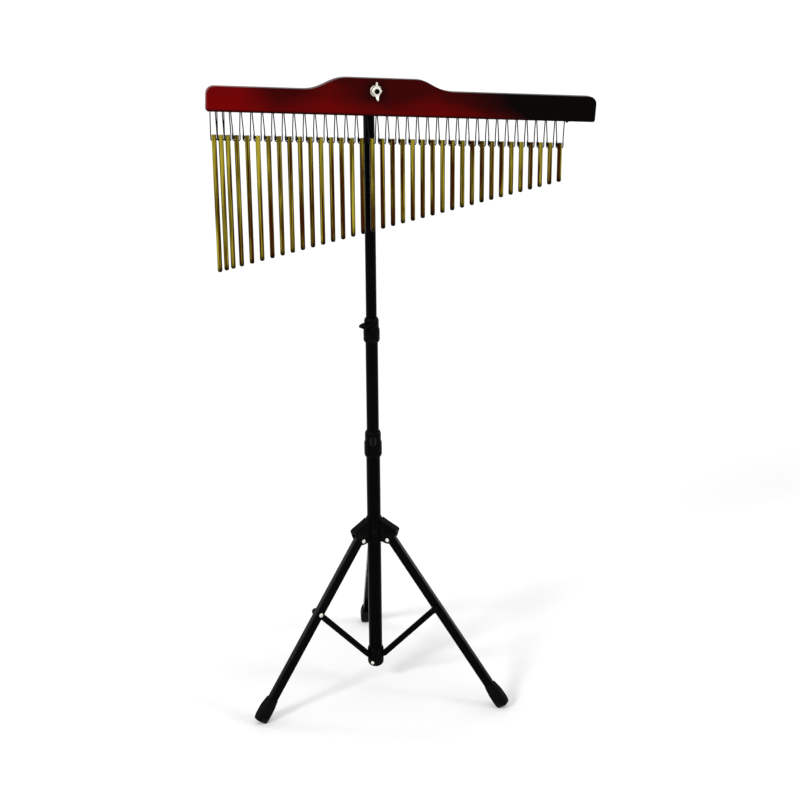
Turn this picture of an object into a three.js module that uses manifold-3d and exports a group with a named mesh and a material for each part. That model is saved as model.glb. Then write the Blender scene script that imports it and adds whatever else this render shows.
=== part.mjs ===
// A set of bar chimes on a folding tripod stand: thirty-six tuned rods hang from one laced cord
// under a lacquered wooden bar, and the bar is bolted to the head of a three-section mast.
// Units are millimetres. X runs along the bar, the player stands at -Y, and +Z is up.

import * as THREE from 'three';
import { mergeVertices } from 'three/addons/utils/BufferGeometryUtils.js';
import Module from 'manifold-3d';

const wasm = await Module();
wasm.setup();

// Wooden bar, measured from the middle of its hump. The bolt that carries it sits barShift
// to the left of that middle.
const barLeft = 279;
const barRight = 378;
const barHeight = 40;
const barThickness = 22;
const barEdgeRound = 3;
const barTopCorner = 13;
const barBottomCorner = 4;
const rightRise = 2.5;
const humpRise = 20.5;
const humpLeft = 50;
const humpRight = 66;
const leftShoulder = 73;
const rightShoulder = 66;
const boltAboveUnderside = 41;
const boltHeight = 1110;
const barForward = 45;
const barTilt = THREE.MathUtils.degToRad(3.6);
const barShift = 5.5;

// Chimes and their lacing
const chimeCount = 36;
const chimeDiameter = 8;
const longestChime = 226;
const shortestChime = 67;
const chimeDrop = 37;
const chimeEdge = 0.8;
const firstHole = 273;
const narrowGaps = 3;
const narrowPitch = 11.1;
const widePitch = 17.2;
const crossHoleDiameter = 2.8;
const crossHoleBelowTop = 9;
const cordDiameter = 1.2;
const cordHoleDiameter = 6.4;
const cordHoleRoof = 4;
const cordRodDiameter = 2;
const cordRodAboveUnderside = 12;
const cordRodMargin = 3.5;
const knotDiameter = 3.4;

// Telescoping mast
const tubeWall = 1.2;
const lowerTubeDiameter = 25;
const middleTubeDiameter = 22;
const topTubeDiameter = 19;
const lowerTubeFoot = 43.5;
const lowerTubeTop = 480;
const middleTubeFoot = 262;
const middleTubeTop = 690;
const topTubeFoot = 600;

// Tube clutches
const clutchWall = 2.2;
const upperClutchBottom = 671.5;
const upperClutchTop = 715;
const lowerClutchBottom = 458;
const lowerClutchTop = 506;
const clutchFlare = 1.7;
const clutchChamfer = 4;
const clutchSlit = 1.4;
const clutchBossDiameter = 13;
const upperScrewBelowTop = 12;
const lowerScrewBelowTop = 12.5;
const upperScrewAzimuth = 214;
const lowerScrewAzimuth = 258;

// Thumb screws
const screwDiameter = 5;
const thumbLength = 13;
const thumbHeight = 19;
const thumbWidth = 11;

// Head bracket, its bolt and the wing nut
const bracketSocketDiameter = 26;
const bracketSocketDepth = 30;
const bracketPlateWidth = 48;
const bracketPlateBelow = 26;
const bracketPlateAbove = 14;
const bracketPlateThickness = 3.5;
const bracketCorner = 6;
const bracketNeckDiameter = 18;
const gussetThickness = 4;
const boltDiameter = 6;
const boltHoleDiameter = 6.8;
const boltPastNut = 1.5;
const washerThickness = 1.6;
const nutBaseDiameter = 17;
const nutNoseDiameter = 12.5;
const nutHeight = 9;
const wingSpan = 30.5;
const wingReach = 3.5;
const wingThickness = 3.2;

// Tripod
const legAzimuths = [202.3, 324.3, 82.5];
const legLean = THREE.MathUtils.degToRad(36.4);
const legLength = 371.9;
const legWidth = 12;
const legDepth = 16;
const legWall = 1.4;
const legCorner = 2.5;
const legPivotInset = 5;
const hubPivotRadius = 29.5;
const pivotPinDiameter = 3.6;
const braceOnLeg = 153.8;
const braceInset = 2;
const braceDepth = 11;
const braceWidth = 8;
const braceWall = 1.2;
const braceHubPivotRadius = 18.6;
const braceHubPivotHeight = 65;
const rivetHeadDiameter = 7.6;
const rivetHeadHeight = 1.6;
const nutAcross = 12.5;
const nutThickness = 8;

// Leg hub, measured from its pivot height
const hubTopAbovePivot = 38;
const hubBottomBelowPivot = 7.8;
const hubSleeveDiameter = 32;
const hubEarReach = 47.5;
const hubEarWidth = 18;
const hubRoof = 3;
const lockScrewAzimuth = 26;
const lockScrewAbovePivot = 14;
const lockBossReach = 21;

// Brace hub
const braceHubTop = 76;
const braceHubBottom = 37;
const braceHubDiameter = 30;
const lugThickness = 5;
const lugRound = 5.4;

// Rubber feet
const footLength = 46;
const footFloor = 5;
const soleFlat = 1.2;
const soleDepth = 18;
const soleWidth = 15;

// Gaps left between neighbours
const seat = 0.3;
const fit = 0.35;

const white = 0xffffff;
const finish = {
  lacquer: { color: 0x5a0508, roughness: 0.25, metalness: 0 },
  chime: { color: 0x9a8a2c, roughness: 0.35, metalness: 1 },
  cord: { color: 0x2b2b2e, roughness: 0.8, metalness: 0 },
  steel: { color: 0xc8c8c4, roughness: 0.25, metalness: 1 },
  blackTube: { color: 0x0c0c0e, roughness: 0.3, metalness: 0.3 },
  blackPlastic: { color: 0x0e0e10, roughness: 0.55, metalness: 0 },
  rubber: { color: 0x101010, roughness: 0.9, metalness: 0 },
};

const round = 20;
const quarter = Math.PI / 2;
const radians = THREE.MathUtils.degToRad;

// Closed geometry to a solid that can be joined and cut
function solid(geometry) {
  const bare = geometry.index ? geometry.toNonIndexed() : geometry.clone();
  bare.deleteAttribute('normal');
  bare.deleteAttribute('uv');
  const merged = mergeVertices(bare, 1e-4);
  const vertProperties = merged.attributes.position.array;
  const triVerts = Uint32Array.from(merged.index.array);
  return new wasm.Manifold(new wasm.Mesh({ numProp: 3, vertProperties, triVerts }));
}

function geometryOf(body) {
  const { vertProperties, triVerts } = body.getMesh();
  const geometry = new THREE.BufferGeometry();
  geometry.setAttribute('position', new THREE.Float32BufferAttribute(vertProperties, 3));
  geometry.setIndex(Array.from(triVerts));
  geometry.computeVertexNormals();
  return geometry;
}

// A revolved solid about Z: the profile is [radius, height] pairs that close on themselves
function revolved(profile, segments = round) {
  const points = profile.map(([radius, height]) => new THREE.Vector2(radius, height));
  const closed = profile[0][0] > 0 ? [...points, points[0].clone()] : points;
  return new THREE.LatheGeometry(closed, segments).rotateX(quarter);
}

// A hollow tube about Z
function pipe(outer, inner, bottom, top, segments = round) {
  return revolved([[inner, bottom], [outer, bottom], [outer, top], [inner, top]], segments);
}

function rod(radius, bottom, top, segments = round) {
  return revolved([[0, bottom], [radius, bottom], [radius, top], [0, top]], segments);
}

function shapeOf(points) {
  return new THREE.Shape(points.map(([x, y]) => new THREE.Vector2(x, y)));
}

// A flat outline in the X-Z plane, with its thickness centred on Y = 0
function plate(shape, thickness, curveSegments = 8) {
  const options = { depth: thickness, bevelEnabled: false, curveSegments };
  return new THREE.ExtrudeGeometry(shape, options).translate(0, 0, -thickness / 2).rotateX(quarter);
}

function block(low, high) {
  const size = low.map((value, axis) => high[axis] - value);
  const centre = low.map((value, axis) => (high[axis] + value) / 2);
  return new THREE.BoxGeometry(...size).translate(...centre);
}

function roundedRectangle(width, height, corner) {
  const x = width / 2;
  const y = height / 2;
  const shape = new THREE.Shape();
  shape.moveTo(-x + corner, -y);
  shape.lineTo(x - corner, -y);
  shape.absarc(x - corner, -y + corner, corner, -quarter, 0);
  shape.lineTo(x, y - corner);
  shape.absarc(x - corner, y - corner, corner, 0, quarter);
  shape.lineTo(-x + corner, y);
  shape.absarc(-x + corner, y - corner, corner, quarter, 2 * quarter);
  shape.lineTo(-x, -y + corner);
  shape.absarc(-x + corner, -y + corner, corner, 2 * quarter, 3 * quarter);
  return shape;
}

// Rings of matching points, joined side to side and closed at both ends
function loft(rings) {
  const count = rings[0].length;
  const positions = rings.flat(2);
  const index = [];
  const last = (rings.length - 1) * count;
  for (let ring = 0; ring < rings.length - 1; ring += 1) {
    for (let step = 0; step < count; step += 1) {
      const here = ring * count + step;
      const beside = ring * count + ((step + 1) % count);
      index.push(here, beside, beside + count);
      index.push(here, beside + count, here + count);
    }
  }
  for (let step = 1; step < count - 1; step += 1) {
    index.push(0, step + 1, step);
    index.push(last, last + step, last + step + 1);
  }
  const geometry = new THREE.BufferGeometry();
  geometry.setAttribute('position', new THREE.Float32BufferAttribute(positions, 3));
  geometry.setIndex(index);
  return geometry;
}

// Turns a solid's geometry about Z to an azimuth given in degrees
function turned(geometry, azimuth) {
  return geometry.clone().rotateZ(radians(azimuth));
}

// A rod along Y, centred on Y = 0 unless given its ends
function pin(radius, from, to, segments = 16) {
  return rod(radius, from, to, segments).rotateX(-quarter);
}

// A rod along +X
function radialRod(radius, from, to, segments = 16) {
  return rod(radius, from, to, segments).rotateY(quarter);
}

const model = new THREE.Group();

function piece(name, geometry, look, parent = model) {
  const mesh = new THREE.Mesh(geometry, new THREE.MeshStandardMaterial({ ...look }));
  mesh.name = name;
  parent.add(mesh);
  return mesh;
}

// Places worked out along the bar: u runs along it from the hump's middle and w runs up from the bolt
const underside = -boltAboveUnderside;
const rodLevel = underside + cordRodAboveUnderside;

function holeAt(number) {
  const narrow = Math.min(number, narrowGaps);
  return -firstHole + narrow * narrowPitch + (number - narrow) * widePitch;
}

function fromBar(u, y, w) {
  const along = u + barShift;
  const x = along * Math.cos(barTilt) + w * Math.sin(barTilt);
  const z = -along * Math.sin(barTilt) + w * Math.cos(barTilt);
  return new THREE.Vector3(x, y - barForward, z + boltHeight);
}

const firstMiddle = (holeAt(0) + holeAt(1)) / 2;
const lastMiddle = (holeAt(chimeCount - 1) + holeAt(chimeCount)) / 2;

// Chime number 1 is the longest, at the left
function chimePlace(number) {
  const middle = (holeAt(number - 1) + holeAt(number)) / 2;
  const hinge = fromBar(middle, 0, underside);
  const share = (middle - firstMiddle) / (lastMiddle - firstMiddle);
  const length = longestChime + share * (shortestChime - longestChime);
  const top = hinge.z - chimeDrop;
  return { hinge, length, top, crossHole: top - crossHoleBelowTop };
}

// Wooden bar

function barOutline() {
  const leftTop = underside + barHeight;
  const rightTop = leftTop + rightRise;
  const crown = leftTop + humpRise;
  const rightFoot = humpRight + rightShoulder;
  const leftFoot = humpLeft + leftShoulder;
  const shape = new THREE.Shape();
  shape.moveTo(-barLeft + barBottomCorner, underside);
  shape.lineTo(barRight - barBottomCorner, underside);
  shape.absarc(barRight - barBottomCorner, underside + barBottomCorner, barBottomCorner, -quarter, 0);
  shape.lineTo(barRight, rightTop - barTopCorner);
  shape.absarc(barRight - barTopCorner, rightTop - barTopCorner, barTopCorner, 0, quarter);
  shape.lineTo(rightFoot, rightTop);
  shape.bezierCurveTo(rightFoot - rightShoulder * 0.55, rightTop, humpRight + rightShoulder * 0.3,
    crown, humpRight, crown);
  shape.lineTo(-humpLeft, crown);
  shape.bezierCurveTo(-humpLeft - leftShoulder * 0.45, crown, -leftFoot + leftShoulder * 0.45,
    leftTop, -leftFoot, leftTop);
  shape.lineTo(-barLeft + barTopCorner, leftTop);
  shape.absarc(-barLeft + barTopCorner, leftTop - barTopCorner, barTopCorner, quarter, 2 * quarter);
  shape.lineTo(-barLeft, underside + barBottomCorner);
  shape.absarc(-barLeft + barBottomCorner, underside + barBottomCorner, barBottomCorner,
    2 * quarter, 3 * quarter);
  return shape;
}

function headerBar() {
  const depth = barThickness - 2 * barEdgeRound;
  const blank = new THREE.ExtrudeGeometry(barOutline(), {
    depth,
    curveSegments: 4,
    bevelSize: barEdgeRound,
    bevelThickness: barEdgeRound,
    bevelOffset: -barEdgeRound,
    bevelSegments: 2,
  });
  let bar = solid(blank.translate(0, 0, -depth / 2).rotateX(quarter));
  const channel = cordRodDiameter / 2 + seat;
  const low = holeAt(0) - cordRodMargin - seat;
  const high = holeAt(chimeCount) + cordRodMargin + seat;
  bar = bar.subtract(solid(block([low, -channel, rodLevel - channel], [high, channel, rodLevel + channel])));
  const roof = rodLevel + cordHoleRoof;
  for (let number = 0; number <= chimeCount; number += 1) {
    const drill = rod(cordHoleDiameter / 2, underside - 1, roof, 8).translate(holeAt(number), 0, 0);
    bar = bar.subtract(solid(drill));
  }
  const boltHole = pin(boltHoleDiameter / 2, -barThickness, barThickness).translate(-barShift, 0, 0);
  return geometryOf(bar.subtract(solid(boltHole)).translate(barShift, 0, 0));
}

const header = new THREE.Group();
header.position.set(0, -barForward, boltHeight);
header.rotation.y = barTilt;
model.add(header);
piece('header_bar', headerBar(), finish.lacquer, header);

// The steel rod that the cord loops over lies in a channel inside the bar
const rodStart = holeAt(0) - cordRodMargin;
const rodEnd = holeAt(chimeCount) + cordRodMargin;
const cordRod = radialRod(cordRodDiameter / 2, rodStart, rodEnd, 8).translate(barShift, 0, rodLevel);
piece('cord_rod', cordRod, finish.steel, header);

// Chimes

function chime(place) {
  const radius = chimeDiameter / 2;
  const bottom = place.top - place.length;
  const profile = [
    [0, bottom],
    [radius - chimeEdge, bottom],
    [radius, bottom + chimeEdge],
    [radius, place.top - chimeEdge],
    [radius - chimeEdge, place.top],
    [0, place.top],
  ];
  const blank = solid(revolved(profile, 12).rotateZ(radians(15)));
  const drill = radialRod(crossHoleDiameter / 2, -chimeDiameter, chimeDiameter, 6);
  return geometryOf(blank.subtract(solid(drill.translate(0, 0, place.crossHole))));
}

for (let number = 1; number <= chimeCount; number += 1) {
  const place = chimePlace(number);
  const name = `chime_${String(number).padStart(2, '0')}`;
  const mesh = piece(name, chime(place), finish.chime);
  mesh.position.set(place.hinge.x, place.hinge.y, 0);
}

// The laced cord: over the rod at each hole, down, through a chime, and up to the next hole.
// It bends only at its stations, so its rings are set there and nowhere else.

class LacedPath extends THREE.Curve {
  constructor(stations) {
    super();
    this.stations = stations;
  }

  getPoint(share) {
    const place = share * (this.stations.length - 1);
    const before = Math.min(Math.floor(place + 1e-9), this.stations.length - 2);
    return this.stations[before].clone().lerp(this.stations[before + 1], place - before);
  }

  getPointAt(share) {
    return this.getPoint(share);
  }

  getTangentAt(share) {
    const here = Math.round(share * (this.stations.length - 1));
    const ahead = this.stations[Math.min(here + 1, this.stations.length - 1)];
    const behind = this.stations[Math.max(here - 1, 0)];
    const middle = this.stations[here];
    const arriving = middle.clone().sub(behind).normalize();
    const leaving = ahead.clone().sub(middle).normalize();
    return arriving.add(leaving).normalize();
  }
}

const cordRadius = cordDiameter / 2;
const loopReach = cordRodDiameter / 2 + seat + cordRadius + 0.1;

// Four stations over the rod, from the front of the hole to its back
function overRod(number) {
  const u = holeAt(number);
  const rise = loopReach * 0.9;
  const half = loopReach * 0.6;
  return [
    fromBar(u, -loopReach, rodLevel),
    fromBar(u, -half, rodLevel + rise),
    fromBar(u, half, rodLevel + rise),
    fromBar(u, loopReach, rodLevel),
  ];
}

// Four stations through a chime, from its left side to its right
function throughChime(number) {
  const { hinge, crossHole } = chimePlace(number);
  const side = chimeDiameter / 2;
  const clear = side + cordRadius + fit;
  const level = crossHole + crossHoleDiameter / 2 - cordRadius - seat - 0.1;
  const at = (x, y, z) => new THREE.Vector3(hinge.x + x, hinge.y + y, z);
  return [
    at(-clear, 0.5, level + 0.8),
    at(-side - 0.45, 0, level),
    at(side + 0.45, 0, level),
    at(clear, -0.5, level + 0.8),
  ];
}

const tailKnot = fromBar(holeAt(0), -1, underside + 3.5);
const endKnot = fromBar(holeAt(chimeCount), 1, underside - 2.4);

function lacingCord() {
  const stations = [tailKnot, ...overRod(0)];
  for (let number = 1; number <= chimeCount; number += 1) {
    stations.push(...throughChime(number), ...overRod(number));
  }
  stations.push(endKnot);
  const section = new THREE.Shape().absarc(0, 0, cordRadius, 0, 4 * quarter);
  const path = new LacedPath(stations);
  const options = { steps: stations.length - 1, extrudePath: path, curveSegments: 3 };
  let cord = solid(new THREE.ExtrudeGeometry(section, options));
  for (const knot of [tailKnot, endKnot]) {
    const ball = new THREE.IcosahedronGeometry(knotDiameter / 2, 1);
    cord = cord.add(solid(ball.translate(knot.x, knot.y, knot.z)));
  }
  return geometryOf(cord);
}

piece('lacing_cord', lacingCord(), finish.cord);

// Head bracket: a socket over the mast, a plate behind the bar, and a stud through it

const barBack = -barForward + barThickness / 2;
const barFace = -barForward - barThickness / 2;
const socketTop = boltHeight + bracketNeckDiameter / 2 + 1;
const socketRoof = boltHeight - bracketNeckDiameter / 2;
const socketBottom = socketRoof - bracketSocketDepth;
const nutBase = barFace - washerThickness - 2 * seat;
const topTubeTop = socketRoof - seat;

function headBracket() {
  const socket = bracketSocketDiameter / 2;
  const plateFace = barBack + seat;
  const plateBack = plateFace + bracketPlateThickness;
  const height = bracketPlateBelow + bracketPlateAbove;
  const middle = boltHeight + (bracketPlateAbove - bracketPlateBelow) / 2;
  const outline = roundedRectangle(bracketPlateWidth, height, bracketCorner);
  const board = plate(outline, bracketPlateThickness, 3);
  board.translate(0, (plateFace + plateBack) / 2, middle);
  const column = revolved([
    [0, socketBottom],
    [socket - 1, socketBottom],
    [socket, socketBottom + 1],
    [socket, socketTop - 2],
    [socket - 2, socketTop],
    [0, socketTop],
  ]);
  const neck = pin(bracketNeckDiameter / 2, plateFace + 1, 0).translate(0, 0, boltHeight);
  const reach = plateBack + socket - 1;
  const gussetShape = shapeOf([
    [plateFace + 1, boltHeight - bracketPlateBelow + 4],
    [-socket + 2, socketBottom + 3],
    [-socket + 2, boltHeight],
    [plateFace + 1, boltHeight],
  ]);
  const gusset = plate(gussetShape, gussetThickness).rotateZ(quarter);
  const studEnd = nutBase - nutHeight - boltPastNut;
  const stud = pin(boltDiameter / 2, studEnd, plateFace + 1).translate(0, 0, boltHeight);
  const bore = rod(topTubeDiameter / 2 + fit, socketBottom - 1, socketRoof);
  return { board, column, neck, gusset, stud, bore, reach };
}

function bracketSolid() {
  const { board, column, neck, gusset, stud, bore } = headBracket();
  let body = solid(column).add(solid(board)).add(solid(neck));
  body = body.add(solid(gusset)).add(solid(stud));
  return geometryOf(body.subtract(solid(bore)));
}

piece('head_bracket', bracketSolid(), finish.blackPlastic);

// Wing nut, with its wings upright

function wingNut() {
  const hub = revolved([
    [boltDiameter / 2 + fit, 0],
    [nutBaseDiameter / 2, 0],
    [nutNoseDiameter / 2, nutHeight],
    [boltDiameter / 2 + fit, nutHeight],
  ]);
  const inner = nutBaseDiameter / 2 - 2.2;
  const outer = wingSpan / 2;
  const wing = new THREE.Shape();
  wing.moveTo(inner, 1);
  wing.lineTo(nutBaseDiameter / 2, 1);
  wing.bezierCurveTo(outer - 5, 1.5, outer, nutHeight - 2, outer, nutHeight + wingReach - 3);
  wing.absarc(outer - 3, nutHeight + wingReach - 3, 3, 0, 2 * quarter);
  wing.bezierCurveTo(outer - 6, nutHeight + 1, inner + 3, nutHeight - 1, inner, nutHeight - 1);
  const blade = plate(wing, wingThickness, 5);
  let nut = solid(hub).add(solid(blade));
  nut = nut.add(solid(turned(blade, 180)));
  return geometryOf(nut);
}

const wingNutMesh = piece('wing_nut', wingNut(), finish.steel);
wingNutMesh.position.set(0, nutBase, boltHeight);
wingNutMesh.rotation.set(quarter, -quarter, 0, 'YXZ');

// Mast tubes

function tube(name, diameter, bottom, top) {
  piece(name, pipe(diameter / 2, diameter / 2 - tubeWall, bottom, top), finish.blackTube);
}

tube('top_tube', topTubeDiameter, topTubeFoot, topTubeTop);
tube('middle_tube', middleTubeDiameter, middleTubeFoot, middleTubeTop);
tube('lower_tube', lowerTubeDiameter, lowerTubeFoot, lowerTubeTop);

// Tube clutches: the outer tube ends inside, the inner tube passes through, and a screw clamps it

function clutch({ bottom, top, outerTube, innerTube, seatHeight, screwBelowTop, azimuth }) {
  const lowWall = outerTube / 2 + fit + clutchWall + clutchFlare / 2;
  const highWall = innerTube / 2 + fit + clutchWall;
  const step = seatHeight + 4;
  const body = revolved([
    [0, bottom],
    [lowWall - 1.6, bottom],
    [lowWall, bottom + clutchChamfer],
    [lowWall, step],
    [highWall + clutchFlare / 2, step + clutchChamfer],
    [highWall + clutchFlare / 2, top - clutchChamfer],
    [highWall - 0.8, top],
    [0, top],
  ]);
  const screwHeight = top - screwBelowTop;
  const bossFace = lowWall + 1.4;
  const boss = radialRod(clutchBossDiameter / 2, 1, bossFace);
  const thread = radialRod(screwDiameter / 2 + fit, 0, bossFace + 1, 12);
  const slit = block([-lowWall - 2, -clutchSlit / 2, seatHeight + 2], [0, clutchSlit / 2, top + 1]);
  let shell = solid(body).add(solid(turned(boss, azimuth).translate(0, 0, screwHeight)));
  shell = shell.subtract(solid(rod(outerTube / 2 + fit, bottom - 1, seatHeight + seat)));
  shell = shell.subtract(solid(rod(innerTube / 2 + fit, bottom - 1, top + 1)));
  shell = shell.subtract(solid(turned(thread, azimuth).translate(0, 0, screwHeight)));
  shell = shell.subtract(solid(turned(slit, azimuth)));
  return { geometry: geometryOf(shell), screwHeight, bossFace, azimuth, touch: innerTube / 2 };
}

// A thumb screw along +X, from its tip to a flattened, tapering grip
function thumbScrew(tip, face) {
  const start = face + seat;
  const radius = thumbHeight / 2;
  const grip = revolved([
    [0, start],
    [radius * 0.62, start],
    [radius * 0.72, start + 1.5],
    [radius, start + 5],
    [radius * 0.86, start + 8.5],
    [radius * 0.5, start + thumbLength - 1.2],
    [radius * 0.26, start + thumbLength],
    [0, start + thumbLength],
  ], 16).scale(thumbWidth / thumbHeight, 1, 1);
  const shank = rod(screwDiameter / 2, tip, start + 2, 12);
  const screw = solid(grip.rotateZ(quarter)).add(solid(shank));
  return geometryOf(screw).rotateY(quarter);
}

function screwIn(name, place, roll = 0) {
  const mesh = piece(name, thumbScrew(place.touch + seat, place.bossFace), finish.blackPlastic);
  mesh.position.z = place.screwHeight;
  mesh.rotation.order = 'ZYX';
  mesh.rotation.set(roll, 0, radians(place.azimuth));
}

const upperClutch = clutch({
  bottom: upperClutchBottom,
  top: upperClutchTop,
  outerTube: middleTubeDiameter,
  innerTube: topTubeDiameter,
  seatHeight: middleTubeTop,
  screwBelowTop: upperScrewBelowTop,
  azimuth: upperScrewAzimuth,
});
piece('upper_clutch', upperClutch.geometry, finish.blackPlastic);
screwIn('upper_clutch_knob', upperClutch, quarter);

const lowerClutch = clutch({
  bottom: lowerClutchBottom,
  top: lowerClutchTop,
  outerTube: lowerTubeDiameter,
  innerTube: middleTubeDiameter,
  seatHeight: lowerTubeTop,
  screwBelowTop: lowerScrewBelowTop,
  azimuth: lowerScrewAzimuth,
});
piece('lower_clutch', lowerClutch.geometry, finish.blackPlastic);
screwIn('lower_clutch_knob', lowerClutch);

// Tripod geometry, in one leg's own plane: x is the distance from the mast, z the height.
// The sole's inner edge reaches the floor, less the flat that is worn on it.

const soleInner = soleDepth / 2 - legPivotInset;
const hubPivotHeight = legLength * Math.cos(legLean) + soleInner * Math.sin(legLean) - soleFlat;
const legLine = legPivotInset;
const braceLine = legPivotInset - braceInset;

function alongLeg(out, down) {
  const x = hubPivotRadius + out * Math.cos(legLean) + down * Math.sin(legLean);
  const z = hubPivotHeight + out * Math.sin(legLean) - down * Math.cos(legLean);
  return { x, z };
}

const braceTip = alongLeg(braceLine, braceOnLeg);
const braceRun = braceTip.x - braceHubPivotRadius;
const braceRise = braceTip.z - braceHubPivotHeight;
const braceLength = Math.hypot(braceRun, braceRise);
const braceLean = Math.atan2(braceRun, braceRise);

// Leg hub: a sleeve that slides on the lower tube, with a hooded ear and a pin for each leg

function hubEar() {
  const top = hubPivotHeight + hubTopAbovePivot;
  const bottom = hubPivotHeight - hubBottomBelowPivot;
  const inner = lowerTubeDiameter / 2 + fit + 1;
  const knee = hubPivotRadius - 2.5;
  const kneeHeight = top - 8.5;
  const tipHeight = top - 20;
  const hood = shapeOf([
    [inner, bottom + 3.5],
    [hubPivotRadius - 7.5, bottom + 1.5],
    [hubPivotRadius - 3.5, bottom],
    [hubPivotRadius + 3, bottom],
    [hubPivotRadius + 6.5, bottom + 2],
    [hubPivotRadius + 10, bottom + 7],
    [hubEarReach - 5, bottom + 12],
    [hubEarReach, tipHeight],
    [hubEarReach - 3.5, tipHeight + 3],
    [knee, kneeHeight],
    [inner, top - 1],
  ]);
  const roof = shapeOf([
    [hubSleeveDiameter / 2 + 0.6, bottom - 5],
    [hubEarReach + 9, bottom - 5],
    [hubEarReach + 9, tipHeight - hubRoof - 8],
    [hubEarReach - 4.5, tipHeight - hubRoof + 2.6],
    [knee, kneeHeight - hubRoof - 0.4],
    [hubSleeveDiameter / 2 + 0.6, kneeHeight - hubRoof + 3.5],
  ]);
  const hollow = legWidth + 2 * fit + 0.1;
  return { hood: plate(hood, hubEarWidth), hollow: plate(roof, hollow), bottom, top };
}

function rivet(half, azimuth, radius, height) {
  const head = revolved([
    [0, half - 1],
    [rivetHeadDiameter / 2, half - 1],
    [rivetHeadDiameter / 2, half + rivetHeadHeight * 0.4],
    [rivetHeadDiameter / 3.2, half + rivetHeadHeight],
    [0, half + rivetHeadHeight],
  ], 12);
  const heads = [head.clone().rotateX(quarter), head.rotateX(-quarter)];
  const shank = pin(pivotPinDiameter / 2, -half, half, 12);
  return [...heads, shank].map((part) => turned(part.translate(radius, 0, height), azimuth));
}

const lockPlace = {
  azimuth: lockScrewAzimuth,
  bossFace: lockBossReach,
  touch: lowerTubeDiameter / 2,
  screwHeight: hubPivotHeight + lockScrewAbovePivot,
};

function legHub() {
  const { hood, hollow, bottom, top } = hubEar();
  const sleeve = hubSleeveDiameter / 2;
  const bore = lowerTubeDiameter / 2 + fit;
  let hub = solid(revolved([
    [0, bottom],
    [sleeve - 1, bottom],
    [sleeve, bottom + 1],
    [sleeve, top - 6],
    [bore + 1, top],
    [0, top],
  ]));
  for (const azimuth of legAzimuths) {
    hub = hub.add(solid(turned(hood, azimuth)));
  }
  for (const azimuth of legAzimuths) {
    hub = hub.subtract(solid(turned(hollow, azimuth)));
  }
  const boss = turned(radialRod(clutchBossDiameter / 2, 1, lockPlace.bossFace), lockPlace.azimuth);
  hub = hub.add(solid(boss.translate(0, 0, lockPlace.screwHeight)));
  hub = hub.subtract(solid(rod(bore, bottom - 1, top + 1)));
  const thread = radialRod(screwDiameter / 2 + fit, 0, lockPlace.bossFace + 1, 12);
  hub = hub.subtract(solid(turned(thread, lockPlace.azimuth).translate(0, 0, lockPlace.screwHeight)));
  for (const azimuth of legAzimuths) {
    for (const part of rivet(hubEarWidth / 2, azimuth, hubPivotRadius, hubPivotHeight)) {
      hub = hub.add(solid(part));
    }
  }
  return geometryOf(hub);
}

piece('leg_hub', legHub(), finish.blackPlastic);
screwIn('hub_lock_knob', lockPlace);

// Legs: pressed channels with their spine outward, in a frame turned about the hub pin

function channelSection(width, depth, wall, corner) {
  const x = depth / 2;
  const y = width / 2;
  const shape = new THREE.Shape();
  shape.moveTo(-x, -y);
  shape.lineTo(x - corner, -y);
  shape.absarc(x - corner, -y + corner, corner, -quarter, 0);
  shape.lineTo(x, y - corner);
  shape.absarc(x - corner, y - corner, corner, 0, quarter);
  shape.lineTo(-x, y);
  shape.lineTo(-x, y - wall);
  shape.lineTo(x - wall, y - wall);
  shape.lineTo(x - wall, -y + wall);
  shape.lineTo(-x, -y + wall);
  return shape;
}

const legEnd = legLength - footFloor;

function leg() {
  const crown = legDepth / 2 + 1.5;
  const section = channelSection(legWidth, legDepth, legWall, legCorner);
  const options = { depth: legEnd + crown, bevelEnabled: false, curveSegments: 3 };
  const channel = new THREE.ExtrudeGeometry(section, options).translate(legLine, 0, -legEnd);
  const profile = new THREE.Shape();
  profile.moveTo(legLine - legDepth, -legEnd - 1);
  profile.lineTo(legLine + legDepth / 2 + 1, -legEnd - 1);
  profile.lineTo(legLine + legDepth / 2 + 1, 0);
  profile.absarc(legLine, 1.5, legDepth / 2, 0, 2 * quarter);
  profile.lineTo(legLine - legDepth, 0);
  let body = solid(channel).intersect(solid(plate(profile, legWidth + 2, 8)));
  const pinHole = pin(pivotPinDiameter / 2 + fit, -legWidth, legWidth, 12);
  body = body.subtract(solid(pinHole));
  const side = legWidth / 2;
  const head = revolved([
    [0, side - 0.8],
    [rivetHeadDiameter / 2, side - 0.8],
    [rivetHeadDiameter / 2, side + rivetHeadHeight * 0.5],
    [rivetHeadDiameter / 3.2, side + rivetHeadHeight + 0.6],
    [0, side + rivetHeadHeight + 0.6],
  ], 12).rotateX(-quarter);
  const nut = revolved([
    [0, side - 0.8],
    [nutAcross / Math.sqrt(3), side - 0.8],
    [nutAcross / Math.sqrt(3), side + nutThickness],
    [nutAcross / 2 - 0.8, side + nutThickness + 0.6],
    [nutAcross / 2 - 1.6, side + nutThickness + 3],
    [nutAcross / 4, side + nutThickness + 4.4],
    [0, side + nutThickness + 4.8],
  ], 6).rotateX(quarter);
  for (const part of [head, nut]) {
    body = body.add(solid(part.translate(braceLine, 0, -braceOnLeg)));
  }
  return geometryOf(body);
}

// Rubber foot: a boot that swells below its mouth and ends in a narrower, rounded sole

function footRing(depth, width, centre, height) {
  const points = roundedRectangle(depth, width, Math.min(depth, width) * 0.3).getPoints(2);
  const distinct = points.filter((point, step) => point.distanceTo(points.at(step - 1)) > 1e-6);
  return distinct.map((point) => [point.x + centre, point.y, height]);
}

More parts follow.
